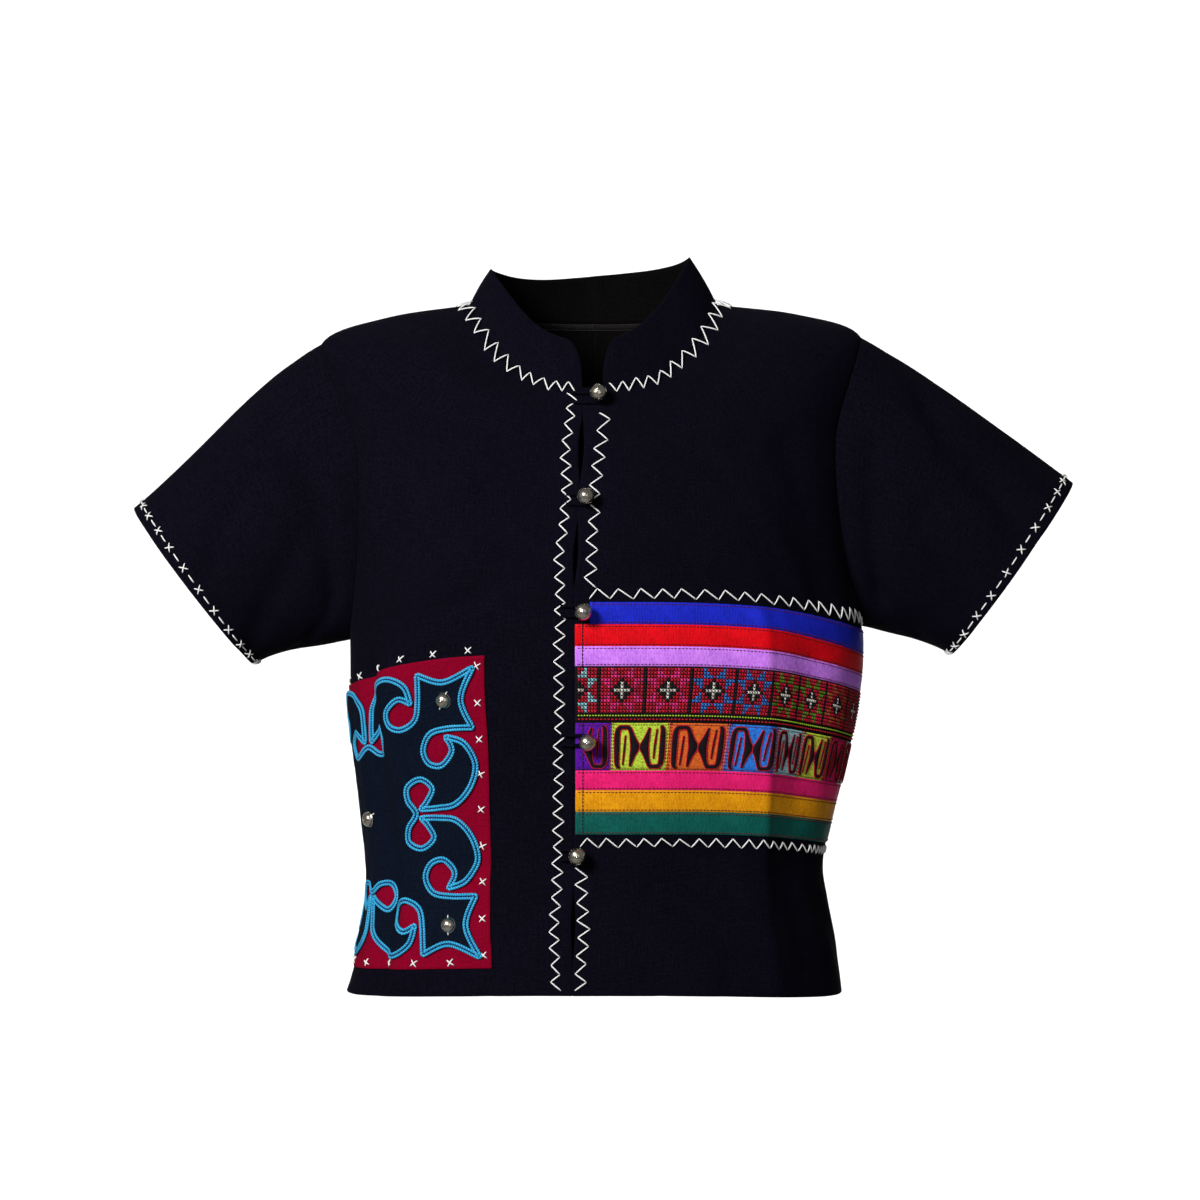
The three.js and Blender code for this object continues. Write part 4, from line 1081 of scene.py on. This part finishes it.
# One hook of the double curl: share across and up its square, half its width in millimetres on a
# square 41 mm wide. Its mate is the same hook turned half round.
HOOK = (
    (0.160, 0.06, 0.5), (0.115, 0.13, 1.4), (0.105, 0.45, 1.8), (0.105, 0.76, 1.8), (0.135, 0.89, 1.4),
    (0.220, 0.91, 1.2), (0.300, 0.90, 1.2), (0.350, 0.78, 1.4), (0.385, 0.64, 2.2), (0.420, 0.50, 3.1),
    (0.385, 0.33, 1.9), (0.345, 0.09, 0.4),
)
SPIKE = ((0.215, 0.12, 0.15), (0.235, 0.45, 0.4), (0.245, 0.74, 0.15))
SQUARE_WIDE = 41
SQUARE_EDGING = (0.10, 0.004, 0.014)
SEAM_RED = (0.5, 0.01, 0.02)
CURL_RED = (0.56, 0.005, 0.02)


def spline(a, b, c, d, t):
    """The stretch from b to c of a curve through four points."""
    return 0.5 * (2 * b + (c - a) * t + (2 * a - 5 * b + 4 * c - d) * t ** 2
                  + (3 * b - a - 3 * c + d) * t ** 3)


def smooth_path(points, steps):
    """A curve through points in any dimension, evenly stepped between each two."""
    p = np.asarray(points, float)
    padded = np.concatenate([2 * p[:1] - p[1:2], p, 2 * p[-1:] - p[-2:-1]])
    t = np.arange(steps)[:, None] / steps
    return np.concatenate([spline(*padded[i:i + 4], t) for i in range(len(padded) - 3)] + [p[-1:]])


def left_of(way):
    return np.stack([-way[:, 1], way[:, 0]], -1)


SQUARES_MIDDLE = (SQUARES_FOOT + SQUARES_TOP) / 2
ON_STRIP = GAP + RIBBON
# The section of a black curl: how far across, as a share of half its width, and how high
CURL_SECTION = ((-1, 0.05), (-0.6, 0.45), (0, 0.55), (0.6, 0.45), (1, 0.05))


def strip_place(distance, height, lift):
    return band_place("strip_squares", band_share("strip_squares", distance, SQUARES_MIDDLE), height, lift)


def tint_squares(mesh):
    """Each point of the strip takes the colour of the square that it lies in."""
    name = "strip_squares"
    place = np.empty(len(mesh.vertices) * 3)
    mesh.vertices.foreach_get("co", place)
    place = place.reshape(-1, 3)
    angle = np.arctan2(place[:, 0], -place[:, 1])
    shares = np.interp(angle, band_angle(name, BAND_SHARES, SQUARES_MIDDLE), BAND_SHARES)
    far = np.interp(shares, BAND_SHARES, band_lengths(name, SQUARES_MIDDLE))
    square = np.searchsorted(SQUARE_EDGES, far, side="right") - 1
    add_tint(mesh, np.array(SQUARE_COLOURS)[np.clip(square, 0, len(SQUARE_COLOURS) - 1)])


def curl_edges(stitches, flat, side, narrow):
    for sign in (-1, 1):
        edge = flat + side * (narrow + 0.25) * sign
        point, normal = strip_place(edge[:, 0], edge[:, 1], ON_STRIP + 0.5)
        keep = np.linalg.norm(np.diff(edge, axis=0), axis=1) < 12
        stitches.add(point[:-1][keep], point[1:][keep], normal[:-1][keep], 0.5, tint=CURL_RED, **MACHINE)


def make_curls(stitches):
    """The black curls, two hooks and two spikes a square, with red stitches along their edges."""
    total = band_lengths("strip_squares", SQUARES_MIDDLE)[-1]
    points, faces = [], []
    for start, end in zip(SQUARE_EDGES, SQUARE_EDGES[1:]):
        for table, turned in ((HOOK, False), (HOOK, True), (SPIKE, False), (SPIKE, True)):
            path = smooth_path(table, 6)
            share = 1 - path[:, :2] if turned else path[:, :2]
            flat = share * [end - start, SQUARES_TOP - SQUARES_FOOT] + [start, SQUARES_FOOT]
            inside = (flat[:, 0] > 2.5) & (flat[:, 0] < total - 1.5)
            if inside.sum() < 4:
                continue
            flat, narrow = flat[inside], path[inside, 2:] * (end - start) / SQUARE_WIDE
            side = left_of(unit(np.gradient(flat, axis=0)))
            rails = [flat + side * narrow * across for across, _ in CURL_SECTION]
            columns = [strip_place(rail[:, 0], rail[:, 1], ON_STRIP + 0.2 + lift)[0]
                       for rail, (_, lift) in zip(rails, CURL_SECTION)]
            index = len(points) + np.arange(len(flat) * 5).reshape(-1, 5)
            quads = [index[:-1, :-1], index[:-1, 1:], index[1:, 1:], index[1:, :-1]]
            faces += np.stack(quads, -1).reshape(-1, 4).tolist()
            points += np.stack(columns, 1).reshape(-1, 3).tolist()
            curl_edges(stitches, flat, side, narrow)
    black = woven("black cotton tape", (0.006, 0.005, 0.007), (0.018, 0.014, 0.018), 0.85, 0.01)
    curls = make_object("square_curls", points, faces, [black], np.array(points)[:, [0, 2]])
    thicken(curls, 0.35)
    add_piece(curls, "square_strip")


def square_seams(stitches):
    """Red stitches between the squares, and finer dark ones on both sides of them."""
    heights = np.arange(SQUARES_FOOT + 1, SQUARES_TOP - 1, 2.4)
    for distance in SQUARE_EDGES[1:-1]:
        for aside, long, radius, tint in ((0, 1.9, 0.4, SEAM_RED), (-1.3, 1.3, 0.3, SQUARE_EDGING),
                                          (1.3, 1.3, 0.3, SQUARE_EDGING)):
            far = np.full(heights.shape, distance + aside)
            low, normal = strip_place(far, heights, ON_STRIP + 0.4)
            top, _ = strip_place(far, heights + long, ON_STRIP + 0.4)
            stitches.add(low, top, normal, radius, 0.15, 0.8, tint, 0.1)


def make_square_strip():
    name = "strip_squares"
    base = band_strip(name, SQUARES_FOOT, SQUARES_TOP, squares_look(), "square_strip")
    tint_squares(base.data)
    stitches = Threads(5, 3)
    make_curls(stitches)
    square_seams(stitches)
    add_piece(stitches.build("square_stitches", TINTED_THREAD), "square_strip")
    edging = Threads(5, 3)
    for height in (SQUARES_FOOT + 1.2, SQUARES_TOP - 1.2):
        edge_stitches(edging, name, height, SQUARE_EDGING, 1.9, 1.15, 0.34)
    add_piece(edging.build("square_edging", TINTED_THREAD), "square_strip")
    return base


def thicken(piece, thick):
    modifier = piece.modifiers.new("thick", "SOLIDIFY")
    modifier.thickness = thick * MM
    modifier.offset = -1
    bpy.context.view_layer.objects.active = piece
    piece.select_set(True)
    bpy.ops.object.modifier_apply(modifier="thick")
    piece.select_set(False)


# Patch: maroon square, navy applique and couched cord

def motif_outline(steps):
    """The applique's whole outline: an eighth, its mirror image, and three quarter turns of both."""
    knots = [np.array(k[:2], float) for k in MOTIF_EIGHTH]
    sharp = [k[2] for k in MOTIF_EIGHTH]
    t = np.arange(steps)[:, None] / steps
    eighth = []
    for i, (b, c) in enumerate(zip(knots, knots[1:])):
        a = knots[1] * [1, -1] if i == 0 else b if sharp[i] else knots[i - 1]
        d = c if sharp[i + 1] else knots[i + 2]
        eighth.append(spline(a, b, c, d, t))
    eighth = np.concatenate(eighth)
    quarter = np.concatenate([eighth, knots[-1][None], eighth[1:][::-1, ::-1]])
    quarter_turn = np.array([[0, 1], [-1, 0]])
    return np.concatenate([quarter @ np.linalg.matrix_power(quarter_turn, k) for k in range(4)])


def inside_outline(outline, x, y):
    """Distance to a closed outline, above 0 inside it."""
    start, end = outline, np.roll(outline, -1, axis=0)
    nearest = np.full(x.shape, 1e9)
    inside = np.zeros(x.shape, bool)
    for (x0, y0), (x1, y1) in zip(start, end):
        run_x, run_y = x1 - x0, y1 - y0
        size = max(run_x ** 2 + run_y ** 2, 1e-9)
        t = np.clip(((x - x0) * run_x + (y - y0) * run_y) / size, 0, 1)
        nearest = np.minimum(nearest, np.hypot(x - x0 - t * run_x, y - y0 - t * run_y))
        if y0 != y1:
            inside ^= ((y0 > y) != (y1 > y)) & (x < x0 + (y - y0) / (y1 - y0) * run_x)
    return np.where(inside, nearest, -nearest)


def cut_cells(value, xs, ys):
    """Cells of a grid where value is above 0, cut where it is 0: flat points and faces."""
    points, numbers, faces = [], {}, []

    def vertex(key, x, y):
        if key not in numbers:
            numbers[key] = len(points)
            points.append((x, y))
        return numbers[key]

    def crossing(p, q):
        p, q = min(p, q), max(p, q)
        t = float(np.clip(value[p] / (value[p] - value[q]), 0.05, 0.95))
        x = xs[p[1]] + (xs[q[1]] - xs[p[1]]) * t
        y = ys[p[0]] + (ys[q[0]] - ys[p[0]]) * t
        return vertex((p, q), x, y)

    inside = value > 0
    some = inside[:-1, :-1] | inside[1:, :-1] | inside[:-1, 1:] | inside[1:, 1:]
    for r, c in zip(*np.nonzero(some)):
        around = [(r, c), (r, c + 1), (r + 1, c + 1), (r + 1, c)]
        face = []
        for i, here in enumerate(around):
            after = around[(i + 1) % 4]
            if inside[here]:
                face.append(vertex(here, xs[here[1]], ys[here[0]]))
            if inside[here] != inside[after]:
                face.append(crossing(here, after))
        if len(face) > 2:
            faces.append(tuple(face))
    return np.array(points), faces


def make_patch_ground():
    reach = np.linspace(-PATCH_HALF, PATCH_HALF, 120)
    x, y = np.meshgrid(reach[::-1], reach)
    edge = np.clip((np.maximum(np.abs(x), np.abs(y)) - 106) / 4, 0, 1)
    pucker = 0.14 * np.sin(x * 0.5 + 1) * np.sin(y * 0.45) + 0.25 * edge
    outer, inner = on_patch(x, y, GAP + PATCH_CLOTH + pucker), on_patch(x, y, GAP)
    return add_piece(shell("patch_ground_cloth", outer, inner, [MAROON]), "maroon_cotton", "patch_ground")


def make_applique(outline):
    lines = np.arange(-PATCH_HALF, PATCH_HALF + 1.0, 1.9)
    value = inside_outline(outline, *np.meshgrid(lines, lines))
    flat, faces = cut_cells(np.where(np.abs(value) < 0.02, 0.02, value), lines, lines)
    ripple = 0.12 * np.sin(flat[:, 0] * 0.4) * np.sin(flat[:, 1] * 0.37)
    points = on_patch(flat[:, 0], flat[:, 1], APPLIQUE_LIFT + APPLIQUE_CLOTH + ripple)
    applique = make_object("patch_applique_cloth", points, [f[::-1] for f in faces], [APPLIQUE], flat)
    thicken(applique, APPLIQUE_CLOTH)
    return add_piece(applique, "navy_applique", "patch_applique")


def make_cord(outline):
    """Two strands side by side along the applique's outline, and the stitches that hold them."""
    path = np.concatenate([outline, outline[:1]])
    far = lengths_along(path)
    even = np.arange(0, far[-1], 1.0)
    line = np.stack([np.interp(even, far, path[:, 0]), np.interp(even, far, path[:, 1])], -1)
    side = left_of(unit(np.roll(line, -2, axis=0) - np.roll(line, 2, axis=0)))
    points, faces, sides = [], [], 8
    for k, sign in enumerate((-1, 1)):
        x, y = (line + side * STRAND_ASIDE * sign).T
        faces += tube_faces(len(line), sides, k * len(line) * sides, True)
        normals = patch_normal(x, y, CORD_LIFT)
        points.append(tube_points(on_patch(x, y, CORD_LIFT), normals, STRAND_RADIUS, sides, True))
    uv = np.stack([np.tile(np.repeat(even, sides), 2), np.tile(np.arange(sides), len(even) * 2) * 0.9], -1)
    add_piece(make_object("couched_cord", np.concatenate(points), faces, [cord_look()], uv), "navy_applique")

    tacks = Threads(5, 4)
    at = np.arange(0, len(line), 3)
    here, after = line[at].T, line[(at + 2) % len(line)].T
    lift = CORD_LIFT + 0.35
    normals = unit(on_patch(*here, CORD_LIFT + 1.5) - on_patch(*here, lift))
    tacks.add(on_patch(*here, lift), on_patch(*after, lift), normals, 0.5, 0.1, 0.8, TACK_BLUE, 0.15)
    add_piece(tacks.build("cord_tacks", TINTED_THREAD), "navy_applique")


def make_patch():
    ground = make_patch_ground()
    outline = motif_outline(10)
    applique = make_applique(outline)
    make_cord(outline)
    return ground, applique


# Silver buttons, domes and cloth loops

def ring_dent(turn, place, width):
    return math.exp(-(((turn - place) / width) ** 2))


def ball_profile():
    """A ball on a narrow foot, with a groove round its middle, a fine ring and a small tip."""
    centre = FOOT_HEIGHT + math.sqrt(BALL_RADIUS ** 2 - FOOT_RADIUS ** 2)
    neck = FOOT_RADIUS * 0.8
    profile = [(0, 0), (FOOT_RADIUS, 0), (neck, 1.0), (neck, FOOT_HEIGHT - 0.6)]
    start = math.asin(FOOT_RADIUS / BALL_RADIUS)
    for i in range(30):
        turn = start + (math.pi - start) * i / 30
        groove = 0.28 * ring_dent(turn, QUARTER, 0.06) - 0.16 * ring_dent(turn, QUARTER, 0.2)
        radius = BALL_RADIUS - groove * 0.9 - 0.12 * ring_dent(turn, 2.62, 0.07) - 0.16
        profile.append((radius * math.sin(turn), centre - radius * math.cos(turn)))
    tip = centre + BALL_RADIUS - 0.2
    return profile + [(1.0, tip), (0.9, tip + 0.4), (0.45, tip + 0.7), (0, tip + 0.75)]


def dome_profile():
    """A dome on a thin rim, with a small tip."""
    rim, rise, base = STUD_RADIUS - 0.5, STUD_HEIGHT - 0.3, 0.85
    profile = [(0, 0), (STUD_RADIUS, 0), (STUD_RADIUS + 0.1, 0.3), (STUD_RADIUS, 0.7), (rim, base)]
    for turn in QUARTER * np.arange(1, 15) / 15:
        profile.append((rim * math.cos(turn), base + rise * math.sin(turn)))
    tip = base + rise
    return profile + [(0.9, tip), (0.85, tip + 0.5), (0.4, tip + 0.8), (0, tip + 0.85)]


def silver_piece(name, node_name, profile, sides, centre, normal):
    points, faces = lathe(profile, sides, centre, normal)
    add_piece(make_object(name, points, faces, [SILVER], points[:, [0, 2]]), "silver", node_name)


def make_buttons():
    for i, (height, x, on_band) in enumerate(BUTTONS, 1):
        centre, normal = body_xy(x, height, GAP + (1.0 + GAP if on_band else 0))
        silver_piece(f"button_{i}_ball", f"button_{i}", ball_profile(), 40, centre, normal)
        add_piece(make_loop(f"loop_{i}_cloth", height, x, on_band), "navy_cotton", f"loop_{i}")


def make_studs():
    """A dome at the patch's middle and near each corner, each tied down by two stitches."""
    lift = 2 * GAP + 1.0 + 1.0 + 0.1
    ties = Threads(6, 6)
    for i, corner in enumerate(((0, 0), (1, 1), (1, -1), (-1, 1), (-1, -1))):
        spot = np.array(corner) * STUD_AT
        normal = patch_normal(*spot, lift)
        silver_piece(f"stud_{i + 1}_dome", f"stud_{i + 1}", dome_profile(), 36, on_patch(*spot, lift), normal)
        slant = 0.6 + 0.5 * i
        for sign in (-1, 1):
            way = np.array([math.cos(slant), math.sin(slant)]) * sign
            inner, outer = (on_patch(*(spot + way * far), lift - 0.3) for far in (4.6, 7.2))
            ties.add([inner + normal * 0.9], [outer], [normal], 0.5, 0.5, 1.0, TIE_CREAM)
    add_piece(ties.build("stud_threads", TINTED_THREAD), "silver")


def make_loop(name, height, x, on_band):
    reach = FOOT_RADIUS + LOOP_RADIUS + 0.5
    under = 1.0 + GAP if on_band else 0
    edge = float(opening_edge(RIGHT, height))
    straight = [(far, reach) for far in np.linspace(edge - 9, x, 12)]
    bend = [(x + reach * math.sin(t), reach * math.cos(t)) for t in np.linspace(0, math.pi, 18)[1:-1]]
    flat = np.array(straight + bend + [(far, -up) for far, up in straight[::-1]])
    ramp = np.clip((flat[:, 0] - edge + 5) / 4, 0, 1)
    lift = GAP + LOOP_RADIUS + 0.1 + under * ramp * ramp * (3 - 2 * ramp)
    path, normals = body_xy(flat[:, 0], height + flat[:, 1], lift)
    sides = 12
    points = tube_points(path, normals, LOOP_RADIUS, sides, False)
    faces = tube_faces(len(path), sides, 0, False)
    uv = np.stack([np.repeat(lengths_along(path), sides), np.tile(np.arange(sides) * 0.6, len(path))], -1)
    return make_object(name, points, faces, [NAVY], uv)


# Hand stitches in white thread

def body_xy(x, height, lift):
    angle = front_angle(x, height)
    return on_body(angle, height, lift), body_normal(angle, height)


THREAD = 0.52
THREAD_LIFT = 0.55
OVERLOCK_BROWN = (0.035, 0.030, 0.030)


def zigzag_down(threads, centre_x, top, foot, pitch, half):
    """A zigzag that runs down the front, its legs uneven as in hand work."""
    count = int((top - foot) / (pitch / 2))
    heights = np.linspace(top, foot, count + 1) + draws.normal(0, 0.35, count + 1)
    heights = np.clip(heights, HEM + 1.5, NECK - 1)
    side = np.where(np.arange(count + 1) % 2 == 0, -1, 1)
    x = centre_x(heights) + side * half * draws.uniform(0.82, 1.15, count + 1)
    place, normal = body_xy(x, heights, THREAD_LIFT)
    threads.add(place[:-1], place[1:], normal[:-1], THREAD, 0.3)


def zigzag_band(threads, height, half, start_x, pitch, dense_from):
    """A zigzag along the ribbon band, from the front to the side seam, closer from one share on."""
    name = "strip_squares"
    total = band_lengths(name, height)[-1]
    steps = [start_x]
    while steps[-1] < total - 3:
        share = steps[-1] / total
        closer = 0.42 if share > dense_from else 1 - 0.4 * share
        uneven = draws.uniform(0.85, 1.15) * (1 + 0.3 * (-1) ** len(steps))
        steps.append(steps[-1] + pitch / 2 * closer * uneven)
    far = np.array(steps[:-1])
    side = np.where(np.arange(len(far)) % 2 == 0, -1, 1)
    heights = height + side * half * draws.uniform(0.85, 1.1, len(far))
    place, normal = band_place(name, band_share(name, far, height), heights, THREAD_LIFT)
    threads.add(place[:-1], place[1:], normal[:-1], THREAD, 0.3)


def collar_zigzag(threads):
    """Round the neck seam, one end of each leg on the collar and one on the body."""
    count = 98
    angles = np.linspace(COLLAR_START + 0.06, COLLAR_END - 0.06, count) + draws.normal(0, 0.006, count)
    on_collar, normal, _ = collar_frame(angles, 4.2 * draws.uniform(0.8, 1.15, count) / COLLAR_HEIGHT)
    low = NECK - 3.4 * draws.uniform(0.8, 1.2, count)
    upper, lower = on_collar + normal * THREAD_LIFT, on_body(angles, low, THREAD_LIFT)
    place = np.where((np.arange(count) % 2 == 0)[:, None], upper, lower)
    normals = unit(normal + body_normal(angles, low))
    threads.add(place[:-1], place[1:], normals[:-1], THREAD, 0.5)


def add_cross(threads, centre, way, up, normal, half, turn):
    """Crossed pairs of stitches: the first lies under the second."""
    for k, arch in ((1, 0.2), (-1, 0.75)):
        angle = turn + k * 0.78
        step = way * np.cos(angle)[:, None] + up * np.sin(angle)[:, None]
        threads.add(centre - step * half, centre + step * half, normal, THREAD, arch)


def neck_overlock():
    """A fine overlocked edge inside the neck seam, seen through the neck opening."""
    angles = np.linspace(COLLAR_START + 0.08, COLLAR_END - 0.08, 260)
    threads = Threads(5, 3)
    low, high = (on_body(angles, NECK - drop, -CLOTH - 0.25) for drop in (4.2, 0.8))
    inward = -body_normal(angles, NECK - 2.5)
    for start, end, arch in ((low, high, 0.15), (low, low, 0.1), (high, high, 0.1)):
        threads.add(start[:-1], end[1:], inward[:-1], 0.24, arch, 0.8, OVERLOCK_BROWN)
    add_piece(threads.build("neck_overlock", TINTED_THREAD), "navy_cotton")


def cuff_stitches(threads, side):
    """Crosses round a cuff, with a straight stitch between each two."""
    sleeve = SLEEVES[side]
    count = 2 * int(math.pi * (sleeve["half_high"] + sleeve["half_deep"]) / 30)
    along = 1 - 6.2 / 150

    def at(turn):
        point, normal = sleeve_surface(side, turn, along)
        return point + normal * THREAD_LIFT, normal

    def around(turn):
        return unit(at(turn + 0.02)[0] - at(turn - 0.02)[0])

    turns = circle(count) + 0.1
    centre, normal = at(turns)
    up = unit(np.cross(normal, around(turns)))
    add_cross(threads, centre, around(turns), up, normal, 3.6, draws.normal(0, 0.15, count))
    turns = turns + math.pi / count
    centre, normal = at(turns)
    way = around(turns) * 3.4
    threads.add(centre - way, centre + way, normal, THREAD, 0.3)


def patch_crosses(threads):
    """Crosses round the patch: inside its front, lower and back edges, and above its upper edge."""
    up = np.linspace(-101, 103, 9)
    low, top = np.linspace(-84, 80, 7), np.linspace(-92, 98, 8)
    sides = ((up * 0 + 104.5, up), (low, low * 0 - 106), (up * 0 - 104.5, up), (top, top * 0 + 114.5))
    flat = np.concatenate([np.stack(side, -1) for side in sides])
    x, y = (flat + draws.normal(0, 0.5, flat.shape)).T
    lift = np.where(y > PATCH_HALF, THREAD_LIFT, GAP + PATCH_CLOTH + 0.6)
    centre = on_patch(x, y, lift)
    way, up = unit(on_patch(x + 1, y, lift) - centre), unit(on_patch(x, y + 1, lift) - centre)
    add_cross(threads, centre, way, up, patch_normal(x, y, lift), 3.3, draws.normal(0, 0.18, len(flat)))


def make_hand_stitches():
    threads = Threads(7, 7)
    collar_zigzag(threads)
    right_line = lambda h: opening_edge(RIGHT, h) - 8.3 + (h + 80) * 0.009
    upper_line = lambda h: np.interp(h, (-208, -140, -84), (-3.0, 1.0, 7.8))
    lower_line = lambda h: opening_edge(LEFT, h) + 5.4
    zigzag_down(threads, right_line, NECK - 4, HEM + 3, 11.8, 3.8)
    zigzag_down(threads, upper_line, -84, -208, 12.6, 4.2)
    zigzag_down(threads, lower_line, -405, HEM + 3, 12.0, 4.3)
    zigzag_band(threads, -212.4, 3.5, 9.5, 16.5, 1)
    zigzag_band(threads, -387.6, 3.2, 3, 14.5, 0.76)
    for side in (RIGHT, LEFT):
        cuff_stitches(threads, side)
    patch_crosses(threads)
    add_piece(threads.build("white_hand_stitches", WHITE_THREAD), "square_strip")


# Room, light and camera

CAMERA_FAR = 2.3
CAMERA_X = 0.0044
CAMERA_Z = -0.2168
MM_PER_PIXEL = 0.735
PICTURE = 1200
SENSOR = 36
FLOOR_Z = -1.5
PALE_FROM_Y = 1.4


def make_stage():
    pale, tree, shader = new_material("pale floor", (0.86, 0.86, 0.85), 0.85)
    place = node(tree, "ShaderNodeTexCoord").outputs["Object"]
    parts = node(tree, "ShaderNodeSeparateXYZ")
    link(tree, place, parts.inputs[0])
    behind = times(tree, math_node(tree, "SUBTRACT", parts.outputs["Y"], PALE_FROM_Y), 0.8)
    pale_wall = mix_colour(tree, noise(tree, place, 3.0), (0.85, 0.85, 0.84), (0.88, 0.88, 0.875))
    link(tree, mix_colour(tree, behind, (0.22, 0.22, 0.22), pale_wall), shader.inputs["Base Color"])
    wide, wall_wide, near, far, high, bend = 5.0, 1.9, -4.0, 4.0, 3.6, 1.2
    profile = [(wide, near, 0.0)]
    for t in np.linspace(0, QUARTER, 17):
        profile.append((wall_wide, far - bend + bend * math.sin(t), bend - bend * math.cos(t)))
    profile.append((wall_wide, far, high))
    points = [(side * half, y, z + FLOOR_Z) for half, y, z in profile for side in (-1, 1)]
    faces = [(2 * i, 2 * i + 1, 2 * i + 3, 2 * i + 2) for i in range(len(profile) - 1)]
    floor = make_object("floor", np.array(points) / MM, faces, [pale])


def area_light(name, place, target, power, width, height):
    light = bpy.data.lights.new(name, "AREA")
    light.shape = "RECTANGLE"
    light.size, light.size_y, light.energy = width, height, power
    lamp = bpy.data.objects.new(name, light)
    bpy.context.scene.collection.objects.link(lamp)
    lamp.location = place
    way = np.asarray(target, float) - np.asarray(place, float)
    lamp.rotation_euler = Vector(way).to_track_quat("-Z", "Y").to_euler()


def make_light_and_camera():
    world = bpy.data.worlds.new("studio")
    bpy.context.scene.world = world
    world.use_nodes = True
    world.node_tree.nodes["Background"].inputs["Color"].default_value = (1.0, 1.0, 1.0, 1)
    world.node_tree.nodes["Background"].inputs["Strength"].default_value = 0.13
    area_light("key", (-1.5, -2.4, 0.9), (0, 0, -0.25), 111, 0.8, 0.8)
    area_light("fill", (0.6, -2.7, 0.2), (0, 0, -0.25), 6, 1.6, 1.6)
    area_light("backdrop", (0, 1.9, 2.2), (0, 4.0, 0.0), 95, 3.4, 1.0)
    area_light("backdrop low", (0, 1.9, -1.4), (0, 4.0, -0.6), 52, 3.4, 1.0)
    bpy.context.scene.view_settings.view_transform = "Standard"
    data = bpy.data.cameras.new("camera")
    data.sensor_width = SENSOR
    data.lens = SENSOR * CAMERA_FAR / (PICTURE * MM_PER_PIXEL * MM)
    camera = bpy.data.objects.new("camera", data)
    bpy.context.scene.collection.objects.link(camera)
    camera.location = (CAMERA_X, -CAMERA_FAR, CAMERA_Z)
    camera.rotation_euler = (QUARTER, 0, 0)
    bpy.context.scene.camera = camera


make_light_and_camera()
make_stage()
body_pieces = make_body()
sleeve_pieces = [make_sleeve(RIGHT, "sleeve_right"), make_sleeve(LEFT, "sleeve_left")]
collar_piece = make_collar()
ribbon_pieces = make_ribbons()
cross_piece = make_cross_strip()
squares_piece = make_square_strip()
ground_piece, applique_piece = make_patch()
make_buttons()
make_studs()
make_hand_stitches()
neck_overlock()
strip_list = [(piece, (top - foot) * MM) for piece, (_, foot, top) in zip(ribbon_pieces, RIBBONS)]
strip_list += [(cross_piece, 0.04), (squares_piece, 0.034)]
